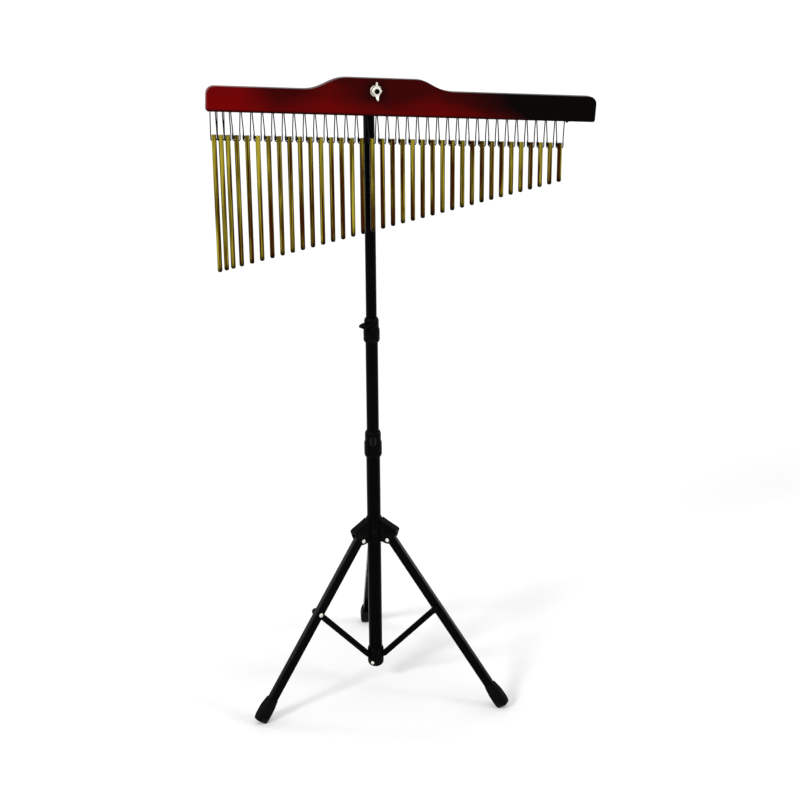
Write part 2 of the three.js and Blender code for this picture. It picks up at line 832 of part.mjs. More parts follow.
function foot() {
  const end = -legLength;
  const mouth = end + footLength;
  const wall = 1.7;
  const rings = [
    footRing(soleDepth, soleWidth, legLine, end),
    footRing(soleDepth + 4, soleWidth + 3, legLine + 0.4, end + 2.5),
    footRing(soleDepth + 6.5, soleWidth + 4.5, legLine + 0.6, end + 9),
    footRing(soleDepth + 6.5, soleWidth + 4.5, legLine + 0.6, end + 27),
    footRing(legDepth + 2 * wall + 2.8, legWidth + 2 * wall + 2.6, legLine + 0.2, mouth - 8),
    footRing(legDepth + 2 * wall, legWidth + 2 * wall, legLine, mouth),
  ];
  const pocketLow = [legLine - legDepth / 2 - fit, -legWidth / 2 - fit, -legEnd - seat];
  const pocketHigh = [legLine + legDepth / 2 + fit, legWidth / 2 + fit, mouth + 1];
  const boot = solid(loft(rings)).subtract(solid(block(pocketLow, pocketHigh)));
  const floor = block([-400, -60, -400], [400, 60, 0]);
  floor.translate(-hubPivotRadius, 0, -hubPivotHeight).rotateY(legLean);
  return geometryOf(boot.subtract(solid(floor)));
}

// Braces: small channels that hook over a lug of the lower hub

function brace() {
  const half = braceDepth / 2;
  const profile = new THREE.Shape();
  profile.moveTo(half, 0);
  profile.lineTo(half, braceLength);
  profile.absarc(0, braceLength, half, 0, 2 * quarter);
  profile.lineTo(-half, 0);
  profile.absarc(0, 0, half, 2 * quarter, 4 * quarter);
  const bar = solid(plate(profile, braceWidth));
  const inside = braceWidth / 2 - braceWall;
  const hollow = block([-half + braceWall, -inside, -braceDepth], [braceDepth, inside, braceLength + braceDepth]);
  const heel = block([-braceDepth, -inside, -braceDepth], [braceDepth, inside, lugRound + 4]);
  const pinHole = pin(pivotPinDiameter / 2 + fit, -braceWidth, braceWidth, 12);
  let body = bar.subtract(solid(hollow)).subtract(solid(heel));
  body = body.subtract(solid(pinHole));
  return geometryOf(body);
}

// Brace hub: a moulded cap on the foot of the lower tube, with a lug and a pin for each brace

function braceHub() {
  const outer = braceHubDiameter / 2;
  const floor = lowerTubeFoot - seat;
  let hub = solid(revolved([
    [0, braceHubBottom],
    [outer - 5, braceHubBottom],
    [outer - 1, braceHubBottom + 4],
    [outer, braceHubBottom + 8],
    [outer, braceHubTop - 4],
    [outer - 1.6, braceHubTop],
    [0, braceHubTop],
  ]));
  const lugShape = new THREE.Shape();
  lugShape.moveTo(lowerTubeDiameter / 2 + fit + 0.6, braceHubPivotHeight - lugRound - 7);
  lugShape.lineTo(braceHubPivotRadius, braceHubPivotHeight - lugRound);
  lugShape.absarc(braceHubPivotRadius, braceHubPivotHeight, lugRound, -quarter, quarter);
  lugShape.lineTo(lowerTubeDiameter / 2 + fit + 0.6, braceHubPivotHeight + lugRound);
  const lug = plate(lugShape, lugThickness, 6);
  const relief = block(
    [braceHubPivotRadius - braceDepth / 2 - 0.9, -braceWidth / 2 - 0.5, braceHubPivotHeight - braceDepth],
    [braceHubPivotRadius + braceDepth, braceWidth / 2 + 0.5, braceHubTop + 1],
  );
  for (const azimuth of legAzimuths) {
    hub = hub.subtract(solid(turned(relief, azimuth)));
  }
  hub = hub.subtract(solid(rod(lowerTubeDiameter / 2 + fit, floor, braceHubTop + 1)));
  for (const azimuth of legAzimuths) {
    hub = hub.add(solid(turned(lug, azimuth)));
    for (const part of braceRivet(azimuth)) {
      hub = hub.add(solid(part));
    }
  }
  return geometryOf(hub);
}

function braceRivet(azimuth) {
  const side = braceWidth / 2 + seat;
  const head = revolved([
    [0, side],
    [rivetHeadDiameter / 2 - 0.6, side],
    [rivetHeadDiameter / 2 - 0.6, side + 0.6],
    [rivetHeadDiameter / 4, side + 1.2],
    [0, side + 1.2],
  ], 12);
  const heads = [head.clone().rotateX(quarter), head.rotateX(-quarter)];
  const shank = pin(pivotPinDiameter / 2, -side - 0.4, side + 0.4, 12);
  const place = (part) => part.translate(braceHubPivotRadius, 0, braceHubPivotHeight);
  return [...heads, shank].map((part) => turned(place(part), azimuth));
}

piece('brace_hub', braceHub(), finish.blackPlastic);

const legGeometry = leg();
const footGeometry = foot();
const braceGeometry = brace();

legAzimuths.forEach((azimuth, number) => {
  const plane = new THREE.Group();
  plane.rotation.z = radians(azimuth);
  model.add(plane);
  const legFrame = new THREE.Group();
  legFrame.position.set(hubPivotRadius, 0, hubPivotHeight);
  legFrame.rotation.y = -legLean;
  plane.add(legFrame);
  piece(`leg_${number + 1}`, legGeometry, finish.blackTube, legFrame);
  piece(`foot_${number + 1}`, footGeometry, finish.rubber, legFrame);
  const braceFrame = new THREE.Group();
  braceFrame.position.set(braceHubPivotRadius, 0, braceHubPivotHeight);
  braceFrame.rotation.y = braceLean;
  plane.add(braceFrame);
  piece(`brace_${number + 1}`, braceGeometry, finish.blackTube, braceFrame);
});

// The origin is the middle of the whole set's footprint, on the floor
const extent = new THREE.Box3().setFromObject(model, true);
const middle = extent.getCenter(new THREE.Vector3());
model.position.set(-middle.x, -middle.y, -extent.min.z);
model.updateMatrixWorld(true);

export default model;
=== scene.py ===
"""Bar chimes that hang from a lacquered wooden bar on a folding tripod stand."""

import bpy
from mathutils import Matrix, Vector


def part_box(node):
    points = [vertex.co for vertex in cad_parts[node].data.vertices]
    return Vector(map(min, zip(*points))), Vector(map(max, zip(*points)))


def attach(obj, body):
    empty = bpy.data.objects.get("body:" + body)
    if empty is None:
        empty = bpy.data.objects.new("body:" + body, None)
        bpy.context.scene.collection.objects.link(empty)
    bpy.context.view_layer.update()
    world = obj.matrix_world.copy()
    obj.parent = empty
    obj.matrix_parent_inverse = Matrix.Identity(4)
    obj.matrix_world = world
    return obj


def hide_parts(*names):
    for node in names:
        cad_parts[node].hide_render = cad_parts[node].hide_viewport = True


bl_info = {
    "name": "Bar chimes on a tripod stand",
    "version": (1, 0, 0),
    "blender": (4, 5, 0),
    "location": "3D View > Sidebar > Bar chimes",
    "description": "Builds a set of bar chimes, its wooden bar and its folding stand",
    "category": "Add Mesh",
}

from math import atan2, copysign, cos, pi, radians, sin, sqrt

import bmesh
import bpy
from bpy.props import FloatProperty, FloatVectorProperty, IntProperty, PointerProperty
from bpy.types import Operator, Panel, PropertyGroup
from mathutils import Matrix, Vector

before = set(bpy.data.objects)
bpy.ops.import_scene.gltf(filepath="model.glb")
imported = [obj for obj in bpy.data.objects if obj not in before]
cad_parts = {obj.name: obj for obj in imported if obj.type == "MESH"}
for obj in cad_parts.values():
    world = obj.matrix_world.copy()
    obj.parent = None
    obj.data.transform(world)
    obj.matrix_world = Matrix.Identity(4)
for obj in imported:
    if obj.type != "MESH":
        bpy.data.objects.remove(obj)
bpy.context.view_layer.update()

# Shapes are worked out in millimetres, with the mast's axis at X = Y = 0 and the floor at Z = 0
MM = 0.001
tube_low, tube_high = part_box("lower_tube")
MAST = Vector(((tube_low.x + tube_high.x) / 2, (tube_low.y + tube_high.y) / 2, 0))


# Sizes and colours that a user would change


def length(name, description, default):
    """A length in metres that is kept to its default in millimetres."""
    return FloatProperty(
        name=name, description=description, default=default * MM, unit="LENGTH", precision=4
    )


def colour(name, description, red, green, blue):
    """A colour as it is seen on a screen, from 0 to 255, kept in the shader's own light values."""
    seen = [value / 255 for value in (red, green, blue)]
    linear = [v / 12.92 if v <= 0.04045 else ((v + 0.055) / 1.055) ** 2.4 for v in seen]
    return FloatVectorProperty(
        name=name, description=description, default=linear, subtype="COLOR", min=0, max=1
    )


class BarSizes(PropertyGroup):
    """Sizes of the wooden bar, measured from the middle of its hump."""

    left: length("Left end", "From the middle of the hump to the left end", 279)
    right: length("Right end", "From the middle of the hump to the right end", 378)
    height: length("Height", "Height of the bar beside the hump", 40)
    thickness: length("Thickness", "Thickness from front to back", 22)
    edge_round: length("Edge rounding", "Rounding of the long edges", 3)
    right_rise: length("Right rise", "How much taller the bar is at the right of the hump", 2.5)
    hump_rise: length("Hump rise", "How far the hump stands above the left part", 20.5)
    hump_left: length("Hump left", "Flat top of the hump, from its middle to the left", 50)
    hump_right: length("Hump right", "Flat top of the hump, from its middle to the right", 66)
    left_shoulder: length("Left shoulder", "Length of the slope at the left of the hump", 73)
    right_shoulder: length("Right shoulder", "Length of the slope at the right of the hump", 66)
    bolt_height: length("Bolt height", "Height of the carrying bolt above the floor", 1110)
    forward: length("Forward", "From the mast's axis to the middle of the bar", 45)
    tilt: FloatProperty(
        name="Tilt",
        description="How far the bar leans down to the right",
        default=radians(3.6),
        subtype="ANGLE",
    )


class ChimeSizes(PropertyGroup):
    """Sizes of the chimes and of the cord that carries them."""

    count: IntProperty(name="Chimes", description="Number of chimes", default=36)
    diameter: length("Diameter", "Diameter of every chime", 8)
    longest: length("Longest", "Length of the chime at the left end", 226)
    shortest: length("Shortest", "Length of the chime at the right end", 67)
    drop: length("Drop", "From the underside of the bar to the top of a chime", 37)
    cord: length("Cord", "Diameter of the lacing cord", 1.9)


class StandSizes(PropertyGroup):
    """Sizes of the mast and its tripod."""

    lower_tube: length("Lower tube", "Outside diameter of the lower tube", 25)
    middle_tube: length("Middle tube", "Outside diameter of the middle tube", 22)
    top_tube: length("Top tube", "Outside diameter of the top tube", 19)
    leg_width: length("Leg width", "Width of a leg channel", 12)
    leg_depth: length("Leg depth", "Depth of a leg channel", 16)
    leg_length: length("Leg length", "From the hub pin to the sole", 371.9)
    leg_lean: FloatProperty(
        name="Leg lean",
        description="Angle between a leg and the mast",
        default=radians(36.4),
        subtype="ANGLE",
    )


class FinishColours(PropertyGroup):
    """Colours of the finishes."""

    lacquer_red: colour("Lacquer red", "Bright part of the shaded lacquer", 127, 0, 0)
    lacquer_deep: colour("Lacquer deep red", "Deep part of the shaded lacquer", 54, 0, 0)
    # The lacquer black is also the colour of the painted shade along the bar's bottom edge and the
    # painted shadow round the bolt.
    lacquer_black: colour("Lacquer black", "Dark end of the shaded lacquer", 4, 1, 1)
    # The chime yellow and brown also carry the painted highlight and painted shade on opposite sides of
    # each chime.
    chime_yellow: colour("Chime yellow", "Light side of a chime", 168, 154, 48)
    chime_olive: colour("Chime olive", "Middle tone of a chime", 112, 100, 24)
    chime_brown: colour("Chime brown", "Dark streak of a chime", 56, 24, 6)
    chime_tip: colour("Chime tip", "Cut ends of a chime", 12, 7, 3)
    cord: colour("Cord", "Lacing cord", 20, 20, 24)
    steel: colour("Bright steel", "Wing nut, washer and rivets", 228, 226, 218)
    paint: colour("Black paint", "Tubes, legs and braces", 3, 3, 4)
    plastic: colour("Black plastic", "Hubs, clutches and screws", 4, 4, 4)
    rubber: colour("Rubber", "Feet", 6, 6, 6)


class BarChimes(PropertyGroup):
    """Everything that can be set for the bar chimes and their stand."""

    bar: PointerProperty(type=BarSizes)
    chimes: PointerProperty(type=ChimeSizes)
    stand: PointerProperty(type=StandSizes)
    colours: PointerProperty(type=FinishColours)


class Millimetres:
    """The sizes of one group of the settings, read in millimetres."""

    def __init__(self, group):
        self.group = group

    def __getattr__(self, name):
        return getattr(getattr(settings(), self.group), name) / MM


def settings():
    return bpy.context.scene.bar_chimes


bar, chimes, stand = Millimetres("bar"), Millimetres("chimes"), Millimetres("stand")


# Sizes and places that several pieces share, in millimetres; heights on the bar are from its bolt

UNDERSIDE = -41
ROD_LEVEL = UNDERSIDE + 12
BAR_SHIFT = 5.5  # from the bolt to the middle of the hump
FIRST_HOLE = 273  # to the left of the middle of the hump
NARROW_GAPS = 3
NARROW_PITCH = 11.1
WIDE_PITCH = 17.2
STRAND_OFF_HOLE = 1.05  # from the middle of a hole to either of its two strands
CROSS_HOLE_BELOW_TOP = 9
WASHER_ROOM = 2.2  # between the bar and the wing nut
NUT_HEIGHT = 9
ROOF_BELOW_BOLT = 9  # the roof of the socket on top of the mast
TUBE_WALL = 1.2
MIDDLE_TUBE_TOP = 690
LOWER_TUBE_TOP = 480
LEG_AZIMUTHS = (202.3, 324.3, 82.5)
LEG_INSET = 5
BRACE_INSET = 2
BRACE_ON_LEG = 153.8
BRACE_PIVOT = Vector((18.6, 0, 65))
HUB_PIVOT_RADIUS = 29.5
HUB_ABOVE_PIVOT = 39.5
HUB_BELOW_PIVOT = 7.8
SOLE_DEPTH = 18
SOLE_CUT = 1.2  # how much of a sole the floor levels off
HEEL = 5  # from a sole up to the end of its leg
PIN = 1.8  # radius of the tripod's pins
BRACE_RIVET = 1.95  # radius of the rivets between legs and braces
SHANK = 2.5  # radius of the thumb screws
FIT = 0.35  # room where parts turn or slide
SEAT = 0.3  # room where parts rest on each other


def hole_at(number):
    """Place of a cord hole along the bar; number 0 is at the left end."""
    narrow = min(number, NARROW_GAPS)
    return -FIRST_HOLE + narrow * NARROW_PITCH + (number - narrow) * WIDE_PITCH


def bolt_place():
    """Where the bolt crosses the middle of the bar's thickness."""
    return Vector((0, -bar.forward, bar.bolt_height))


def bar_frame():
    """Turns places on the bar into places on the stand: X along it, Y through it, Z up from the bolt."""
    lean = Matrix.Rotation(settings().bar.tilt, 4, "Y")
    return Matrix.Translation(bolt_place()) @ lean @ Matrix.Translation((BAR_SHIFT, 0, 0))


def on_bar(along, through, up):
    return bar_frame() @ Vector((along, through, up))


def chime_place(number):
    """Hinge, length and top of a chime; number 1 is the longest, at the left."""
    ends = 1, number, settings().chimes.count
    first, middle, last = ((hole_at(n - 1) + hole_at(n)) / 2 for n in ends)
    share = (middle - first) / (last - first)
    hinge = on_bar(middle, 0, UNDERSIDE)
    size = chimes.longest + share * (chimes.shortest - chimes.longest)
    return hinge, size, hinge.z - chimes.drop


def hub_pivot_height():
    """Height of the legs' pins, at which the soles stand on the floor."""
    lean = settings().stand.leg_lean
    sole_inner = SOLE_DEPTH / 2 - LEG_INSET
    return stand.leg_length * cos(lean) + sole_inner * sin(lean) - SOLE_CUT


def around(azimuth):
    return Matrix.Rotation(radians(azimuth), 4, "Z")


def leg_frame(azimuth):
    """A leg's own frame: its pin at the origin, the leg running down along -Z, its spine at +X."""
    pivot = Matrix.Translation((HUB_PIVOT_RADIUS, 0, hub_pivot_height()))
    return around(azimuth) @ pivot @ Matrix.Rotation(-settings().stand.leg_lean, 4, "Y")


def brace_reach():
    """Run and rise of a brace, from its lug to the leg."""
    tip = leg_frame(0) @ Vector((LEG_INSET - BRACE_INSET, 0, -BRACE_ON_LEG))
    return tip - BRACE_PIVOT


def brace_frame(azimuth):
    reach = brace_reach()
    lean = Matrix.Rotation(atan2(reach.x, reach.z), 4, "Y")
    return around(azimuth) @ Matrix.Translation(BRACE_PIVOT) @ lean


# Forms: closed shapes that are worked like blanks on a bench


def settled(shape, mesh):
    """Writes a worked shape into its mesh and lets the shape go."""
    shape.to_mesh(mesh)
    shape.free()
    return mesh


def linked(name, data):
    """A new object in the scene that holds this mesh, lamp or lens."""
    item = bpy.data.objects.new(name, data)
    bpy.context.scene.collection.objects.link(item)
    return item


class Form:
    """A closed shape; + joins another to it, - cuts another out of it, & keeps what both fill."""

    def __init__(self, mesh):
        self.mesh = mesh

    def placed(self, matrix):
        mesh = self.mesh.copy()
        mesh.transform(matrix)
        return Form(mesh)

    def moved(self, x=0, y=0, z=0):
        return self.placed(Matrix.Translation((x, y, z)))

    def turned(self, degrees, axis="Z"):
        return self.placed(Matrix.Rotation(radians(degrees), 4, axis))

    def worked(self, tool, operation):
        blank, cutter = linked("blank", self.mesh), linked("tool", tool.mesh)
        step = blank.modifiers.new("work", "BOOLEAN")
        step.object = cutter
        step.operation = operation
        step.solver = "MANIFOLD"
        graph = bpy.context.evaluated_depsgraph_get()
        mesh = bpy.data.meshes.new_from_object(blank.evaluated_get(graph))
        for item in (blank, cutter):
            bpy.data.objects.remove(item)
        if not mesh.polygons:
            raise RuntimeError("nothing is left of a form after its cut")
        return Form(mesh)

    def __add__(self, other):
        return self.worked(other, "UNION")

    def __sub__(self, other):
        return self.worked(other, "DIFFERENCE")

    def __and__(self, other):
        return self.worked(other, "INTERSECT")


def solid(points, faces):
    """A form from points and faces, with doubled points joined and all faces turned outwards."""
    mesh = bpy.data.meshes.new("blank")
    mesh.from_pydata([tuple(p) for p in points], [], faces)
    shape = bmesh.new()
    shape.from_mesh(mesh)
    bmesh.ops.remove_doubles(shape, verts=shape.verts, dist=1e-5)
    bmesh.ops.recalc_face_normals(shape, faces=shape.faces)
    return Form(settled(shape, mesh))


def circle(steps):
    """Evenly spread angles of a full turn."""
    return [2 * pi * step / steps for step in range(steps)]


def arc(middle, radius, start, end, steps):
    """Points of an arc in a flat outline, from one angle in degrees to another."""
    angles = [radians(start + (end - start) * step / steps) for step in range(steps + 1)]
    x, y = middle
    return [Vector((x + radius * cos(a), y + radius * sin(a))) for a in angles]


def bezier(a, b, c, d, steps):
    """Points of a curve that leaves a towards b and comes to d from c."""
    a, b, c, d = map(Vector, (a, b, c, d))
    return [
        a * (1 - t) ** 3 + b * 3 * t * (1 - t) ** 2 + c * 3 * t * t * (1 - t) + d * t**3
        for t in (step / steps for step in range(steps + 1))
    ]


def eased(points, radius, steps=3, closed=True):
    """The same outline with its corners rounded off."""
    points = [Vector(p) for p in points]
    result = []
    for place, corner in enumerate(points):
        if not closed and place in (0, len(points) - 1):
            result.append(corner)
            continue
        back = points[place - 1] - corner
        ahead = points[(place + 1) % len(points)] - corner
        reach = min(radius, back.length * 0.45, ahead.length * 0.45)
        start, stop = corner + back.normalized() * reach, corner + ahead.normalized() * reach
        for t in (step / steps for step in range(steps + 1)):
            result.append(start * (1 - t) ** 2 + corner * 2 * t * (1 - t) + stop * t * t)
    return result


def bridged(rows, ring=False):
    """Faces between rows of points, with a triangle where a row comes to one point."""
    faces = []
    for low, high in zip(rows, rows[1:] + rows[:1] if ring else rows[1:]):
        for step in range(len(low)):
            beside = (step + 1) % len(low)
            face = dict.fromkeys([low[step], low[beside], high[beside], high[step]])
            if len(face) > 2:
                faces.append(list(face))
    return faces


def on_lathe(profile, segments=48, ring=False):
    """A form turned about Z from (radius, height) pairs; ring joins the last pair to the first."""
    points, rows = [], []
    for radius, height in profile:
        if radius < 1e-6:
            rows.append([len(points)] * segments)
            points.append((0, 0, height))
            continue
        rows.append(list(range(len(points), len(points) + segments)))
        points += [(radius * cos(a), radius * sin(a), height) for a in circle(segments)]
    return solid(points, bridged(rows, ring))


def eased_on_lathe(profile, edge, segments=64, steps=3):
    """A form turned about Z from an open profile, with its corners eased."""
    return on_lathe(eased(profile, edge, steps, closed=False), segments)


def lofted(rows):
    """A form from rings of matching points, closed at both ends."""
    count = len(rows[0])
    index = [list(range(place * count, (place + 1) * count)) for place in range(len(rows))]
    points = [point for row in rows for point in row]
    return solid(points, [*bridged(index), index[0][::-1], index[-1]])


def slab(outline, thickness, rounding=0.0, steps=4):
    """A board cut to an outline in the X-Z plane, centred on Y = 0, with its edges rounded."""
    outline = [Vector(p) for p in outline]
    outline = [p for place, p in enumerate(outline) if (p - outline[place - 1]).length > 1e-4]
    if sum(a.cross(b) for a, b in zip(outline, outline[1:] + outline[:1])) < 0:
        outline.reverse()
    outward = []
    for place, corner in enumerate(outline):
        before = (corner - outline[place - 1]).normalized()
        after = (outline[(place + 1) % len(outline)] - corner).normalized()
        first, second = Vector((before.y, -before.x)), Vector((after.y, -after.x))
        outward.append((first + second) / (1 + max(first.dot(second), -0.5)))
    half = thickness / 2
    front = [(-half, 0.0)]
    if rounding:
        bends = [radians(90 * step / steps) for step in range(steps + 1)]
        front = [(-half + rounding * (1 - cos(a)), rounding * (1 - sin(a))) for a in bends]
    rows = []
    for y, inset in front + [(-y, inset) for y, inset in reversed(front)]:
        shifted = [corner - away * inset for corner, away in zip(outline, outward)]
        rows.append([(p.x, y, p.y) for p in shifted])
    return lofted(rows)


def block(low, high):
    """A box between two opposite corners."""
    ends = (low, high)
    corners = ((0, 0), (1, 0), (1, 1), (0, 1))
    return lofted([[(ends[x][0], ends[y][1], end[2]) for x, y in corners] for end in ends])


def rod(radius, start, stop, segments=32, edge=0.0):
    """A round bar along Z, with its end edges eased."""
    profile = [(0, start), (radius, start), (radius, stop), (0, stop)]
    return eased_on_lathe(profile, edge, segments) if edge else on_lathe(profile, segments)


def crosswise(form):
    """Lays a form that stands along Z down along +Y."""
    return form.turned(-90, "X")


def outwards(form, azimuth=0, height=0, out=0):
    """Lays a form that stands along Z down along +X, then turns and lifts it round the mast."""
    return form.turned(90, "Y").moved(out).turned(azimuth).moved(z=height)


def rounded_rectangle(width, height, corner, steps=5):
    x, y = width / 2 - corner, height / 2 - corner
    turns = ((x, -y, -90), (x, y, 0), (-x, y, 90), (-x, -y, 180))
    return [p for cx, cy, start in turns for p in arc((cx, cy), corner, start, start + 90, steps)]


def smooth_path(stations, spacing):
    """Points of an even curve through stations, with each station's thickness eased along it."""
    points, sizes = [], []
    padded = [stations[0], *stations, stations[-1]]
    for a, b, c, d in zip(padded, padded[1:], padded[2:], padded[3:]):
        steps = max(2, round((c[0] - b[0]).length / spacing))
        for step in range(steps):
            t = step / steps
            points.append(
                0.5 * (
                    2 * b[0] + (c[0] - a[0]) * t
                    + (2 * a[0] - 5 * b[0] + 4 * c[0] - d[0]) * t**2
                    + (3 * b[0] - a[0] - 3 * c[0] + d[0]) * t**3
                )
            )
            ease = t * t * (3 - 2 * t)
            sizes.append(b[1] * (1 - ease) + c[1] * ease)
    return [*points, stations[-1][0]], [*sizes, stations[-1][1]]


def strand(stations, spacing=1.5, sides=10):
    """A length of twisted cord through stations of (place, radius), with its lay kept as a UV map."""
    points, sizes = smooth_path(stations, spacing)
    shape = bmesh.new()
    lay = shape.loops.layers.uv.new("lay")
    side = None
    rows, walked = [], [0.0]
    for place, point in enumerate(points):
        ahead = (points[min(place + 1, len(points) - 1)] - points[max(place - 1, 0)]).normalized()
        side = side or ahead.orthogonal()
        side = (side - ahead * side.dot(ahead)).normalized()
        across = ahead.cross(side)
        if place:
            walked.append(walked[-1] + (point - points[place - 1]).length)
        rows.append([
            shape.verts.new(point + (side * cos(a) + across * sin(a)) * sizes[place])
            for a in circle(sides)
        ])
    for place, (low, high) in enumerate(zip(rows, rows[1:])):
        for step in range(sides):
            beside = (step + 1) % sides
            face = shape.faces.new([low[step], low[beside], high[beside], high[step]])
            spots = ((step, place), (step + 1, place), (step + 1, place + 1), (step, place + 1))
            for loop, (turn, row) in zip(face.loops, spots):
                loop[lay].uv = (turn / sides, walked[row])
    shape.faces.new(rows[0][::-1])
    shape.faces.new(rows[-1])
    bmesh.ops.recalc_face_normals(shape, faces=shape.faces)
    return Form(settled(shape, bpy.data.meshes.new("strand")))


def together(forms):
    """Several forms kept as one piece, without working them into each other."""
    shape = bmesh.new()
    for form in forms:
        shape.from_mesh(form.mesh)
    return Form(settled(shape, bpy.data.meshes.new("set")))


def fitted(form, name, body, maker, replaces=(), origin=(0, 0, 0), crease=34):
    """Puts a form on the stand as a named piece that has a maker's finish and moves with its body."""
    finish, origin = finish_of(maker), Vector(origin)
    mesh = form.mesh.copy()
    mesh.name = name
    mesh.transform(Matrix.Scale(MM, 4) @ Matrix.Translation(-origin))
    shape = bmesh.new()
    shape.from_mesh(mesh)
    for face in shape.faces:
        face.smooth = True
    for edge in shape.edges:
        if len(edge.link_faces) == 2:
            edge.smooth = edge.calc_face_angle(0) < radians(crease)
    settled(shape, mesh)
    mesh.materials.clear()
    mesh.materials.append(finish.material)
    piece = linked(name, mesh)
    piece.location = MAST + origin * MM
    even = piece.modifiers.new("even shading", "WEIGHTED_NORMAL")
    even.keep_sharp = True
    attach(piece, body)
    finish.slot
    if replaces:
        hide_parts(*replaces)
    return piece


def fitted_on_legs(body, frame_of, *pieces):
    """Fits each piece of (form, name, maker, replaced node) on all three legs or braces."""
    for number, azimuth in enumerate(LEG_AZIMUTHS, 1):
        for form, name, maker, *nodes in pieces:
            fitted(form.placed(frame_of(azimuth)), f"{name}_{number}", f"{body}_{number}", maker,
                   [f"{node}_{number}" for node in nodes])


# Finishes


class Mark:
    """A socket of a finish that can be reckoned with like a number."""

    def __init__(self, nodes, socket):
        self.nodes, self.socket = nodes, socket

    def reckoned(self, operation, first, second):
        return self.nodes.add("ShaderNodeMath", {"operation": operation}, {0: first, 1: second})

    def __add__(self, other):
        return self.reckoned("ADD", self, other)

    def __sub__(self, other):
        return self.reckoned("SUBTRACT", self, other)

    def __mul__(self, other):
        return self.reckoned("MULTIPLY", self, other)

    def __truediv__(self, other):
        return self.reckoned("DIVIDE", self, other)

    def __radd__(self, other):
        return self.reckoned("ADD", other, self)

    def __rsub__(self, other):
        return self.reckoned("SUBTRACT", other, self)

    def __rmul__(self, other):
        return self.reckoned("MULTIPLY", other, self)

    def larger(self, other):
        return self.reckoned("MAXIMUM", self, other)

    def swing(self, amount):
        """A pattern from 0 to 1, brought to a swing of this amount about 0."""
        return (self - 0.5) * amount


class Nodes:
    """A node tree that is filled one node at a time."""

    def __init__(self, tree):
        self.tree = tree

    def add(self, kind, options=None, sockets=None, out=0):
        """Adds a node: its settings first, then the values or links of its sockets."""
        node = self.tree.nodes.new(kind)
        for name, value in (options or {}).items():
            if name == "stops":
                self.set_stops(node.color_ramp, value)
            else:
                setattr(node, name, value)
        for name, value in (sockets or {}).items():
            self.fill(node.inputs[name], value)
        return Mark(self, node.outputs[out])

    def fill(self, socket, value):
        if isinstance(value, Mark):
            self.tree.links.new(value.socket, socket)
        elif socket.type == "RGBA":
            socket.default_value = (*value[:3], 1)
        else:
            socket.default_value = value

    @staticmethod
    def set_stops(ramp, stops):
        """Sets the grey stops of a ramp, from pairs of place and value."""
        while len(ramp.elements) < len(stops):
            ramp.elements.new(0.5)
        for element, (place, value) in zip(ramp.elements, stops):
            element.position = place
            element.color = (value, value, value, 1)

    def band(self, value, low, high):
        """0 below low, 1 above high, and an even slope between."""
        limits = {"Value": value, "From Min": low, "From Max": high}
        return self.add("ShaderNodeMapRange", {"clamp": True}, limits)

    def mixed(self, share, first, second):
        """Goes from the first colour to the second as the share goes from 0 to 1."""
        sockets = {0: share, 6: first, 7: second}
        return self.add("ShaderNodeMix", {"data_type": "RGBA"}, sockets, 2)

    def noise(self, where, detail):
        sockets = {"Vector": where, "Scale": 1, "Detail": detail}
        return self.add("ShaderNodeTexNoise", {}, sockets, "Fac")


class Finish(Nodes):
    """A finish for one kind of surface."""

    def __init__(self, name, slot):
        self.material = bpy.data.materials.new(name)
        self.material.use_nodes = True
        super().__init__(self.material.node_tree)
        self.shader = self.tree.nodes["Principled BSDF"]
        self.slot = slot

    def where(self, scale=(1, 1, 1), tilt=0.0):
        """Places on the piece in metres, levelled from a tilt and then stretched."""
        place = self.add("ShaderNodeTexCoord", out="Object")
        if tilt:
            level = {"Vector": place, "Angle": -tilt}
            place = self.add("ShaderNodeVectorRotate", {"rotation_type": "Y_AXIS"}, level, "Vector")
        return self.stretched(place, scale)

    def stretched(self, place, scale):
        sockets = {0: place, 1: scale}
        return self.add("ShaderNodeVectorMath", {"operation": "MULTIPLY"}, sockets, "Vector")

    def speckle(self, scale, detail, tilt=0.0):
        """Noise over the piece, from patches to the metre, the same or one each for X, Y and Z."""
        scale = scale if isinstance(scale, tuple) else (scale, scale, scale)
        return self.noise(self.where(scale, tilt), detail)

    def parts(self, where, axis):
        return self.add("ShaderNodeSeparateXYZ", {}, {"Vector": where}, axis)

    def relief(self, height, depth, strength):
        """A bump of the given depth in metres."""
        sockets = {"Height": height, "Distance": depth, "Strength": strength}
        return self.add("ShaderNodeBump", {}, sockets, "Normal")

    def laid_on(self, **looks):
        """Gives the surface its looks; an underscore in a name stands for a space."""
        for name, value in looks.items():
            self.fill(self.shader.inputs[name.replace("_", " ")], value)
        return self


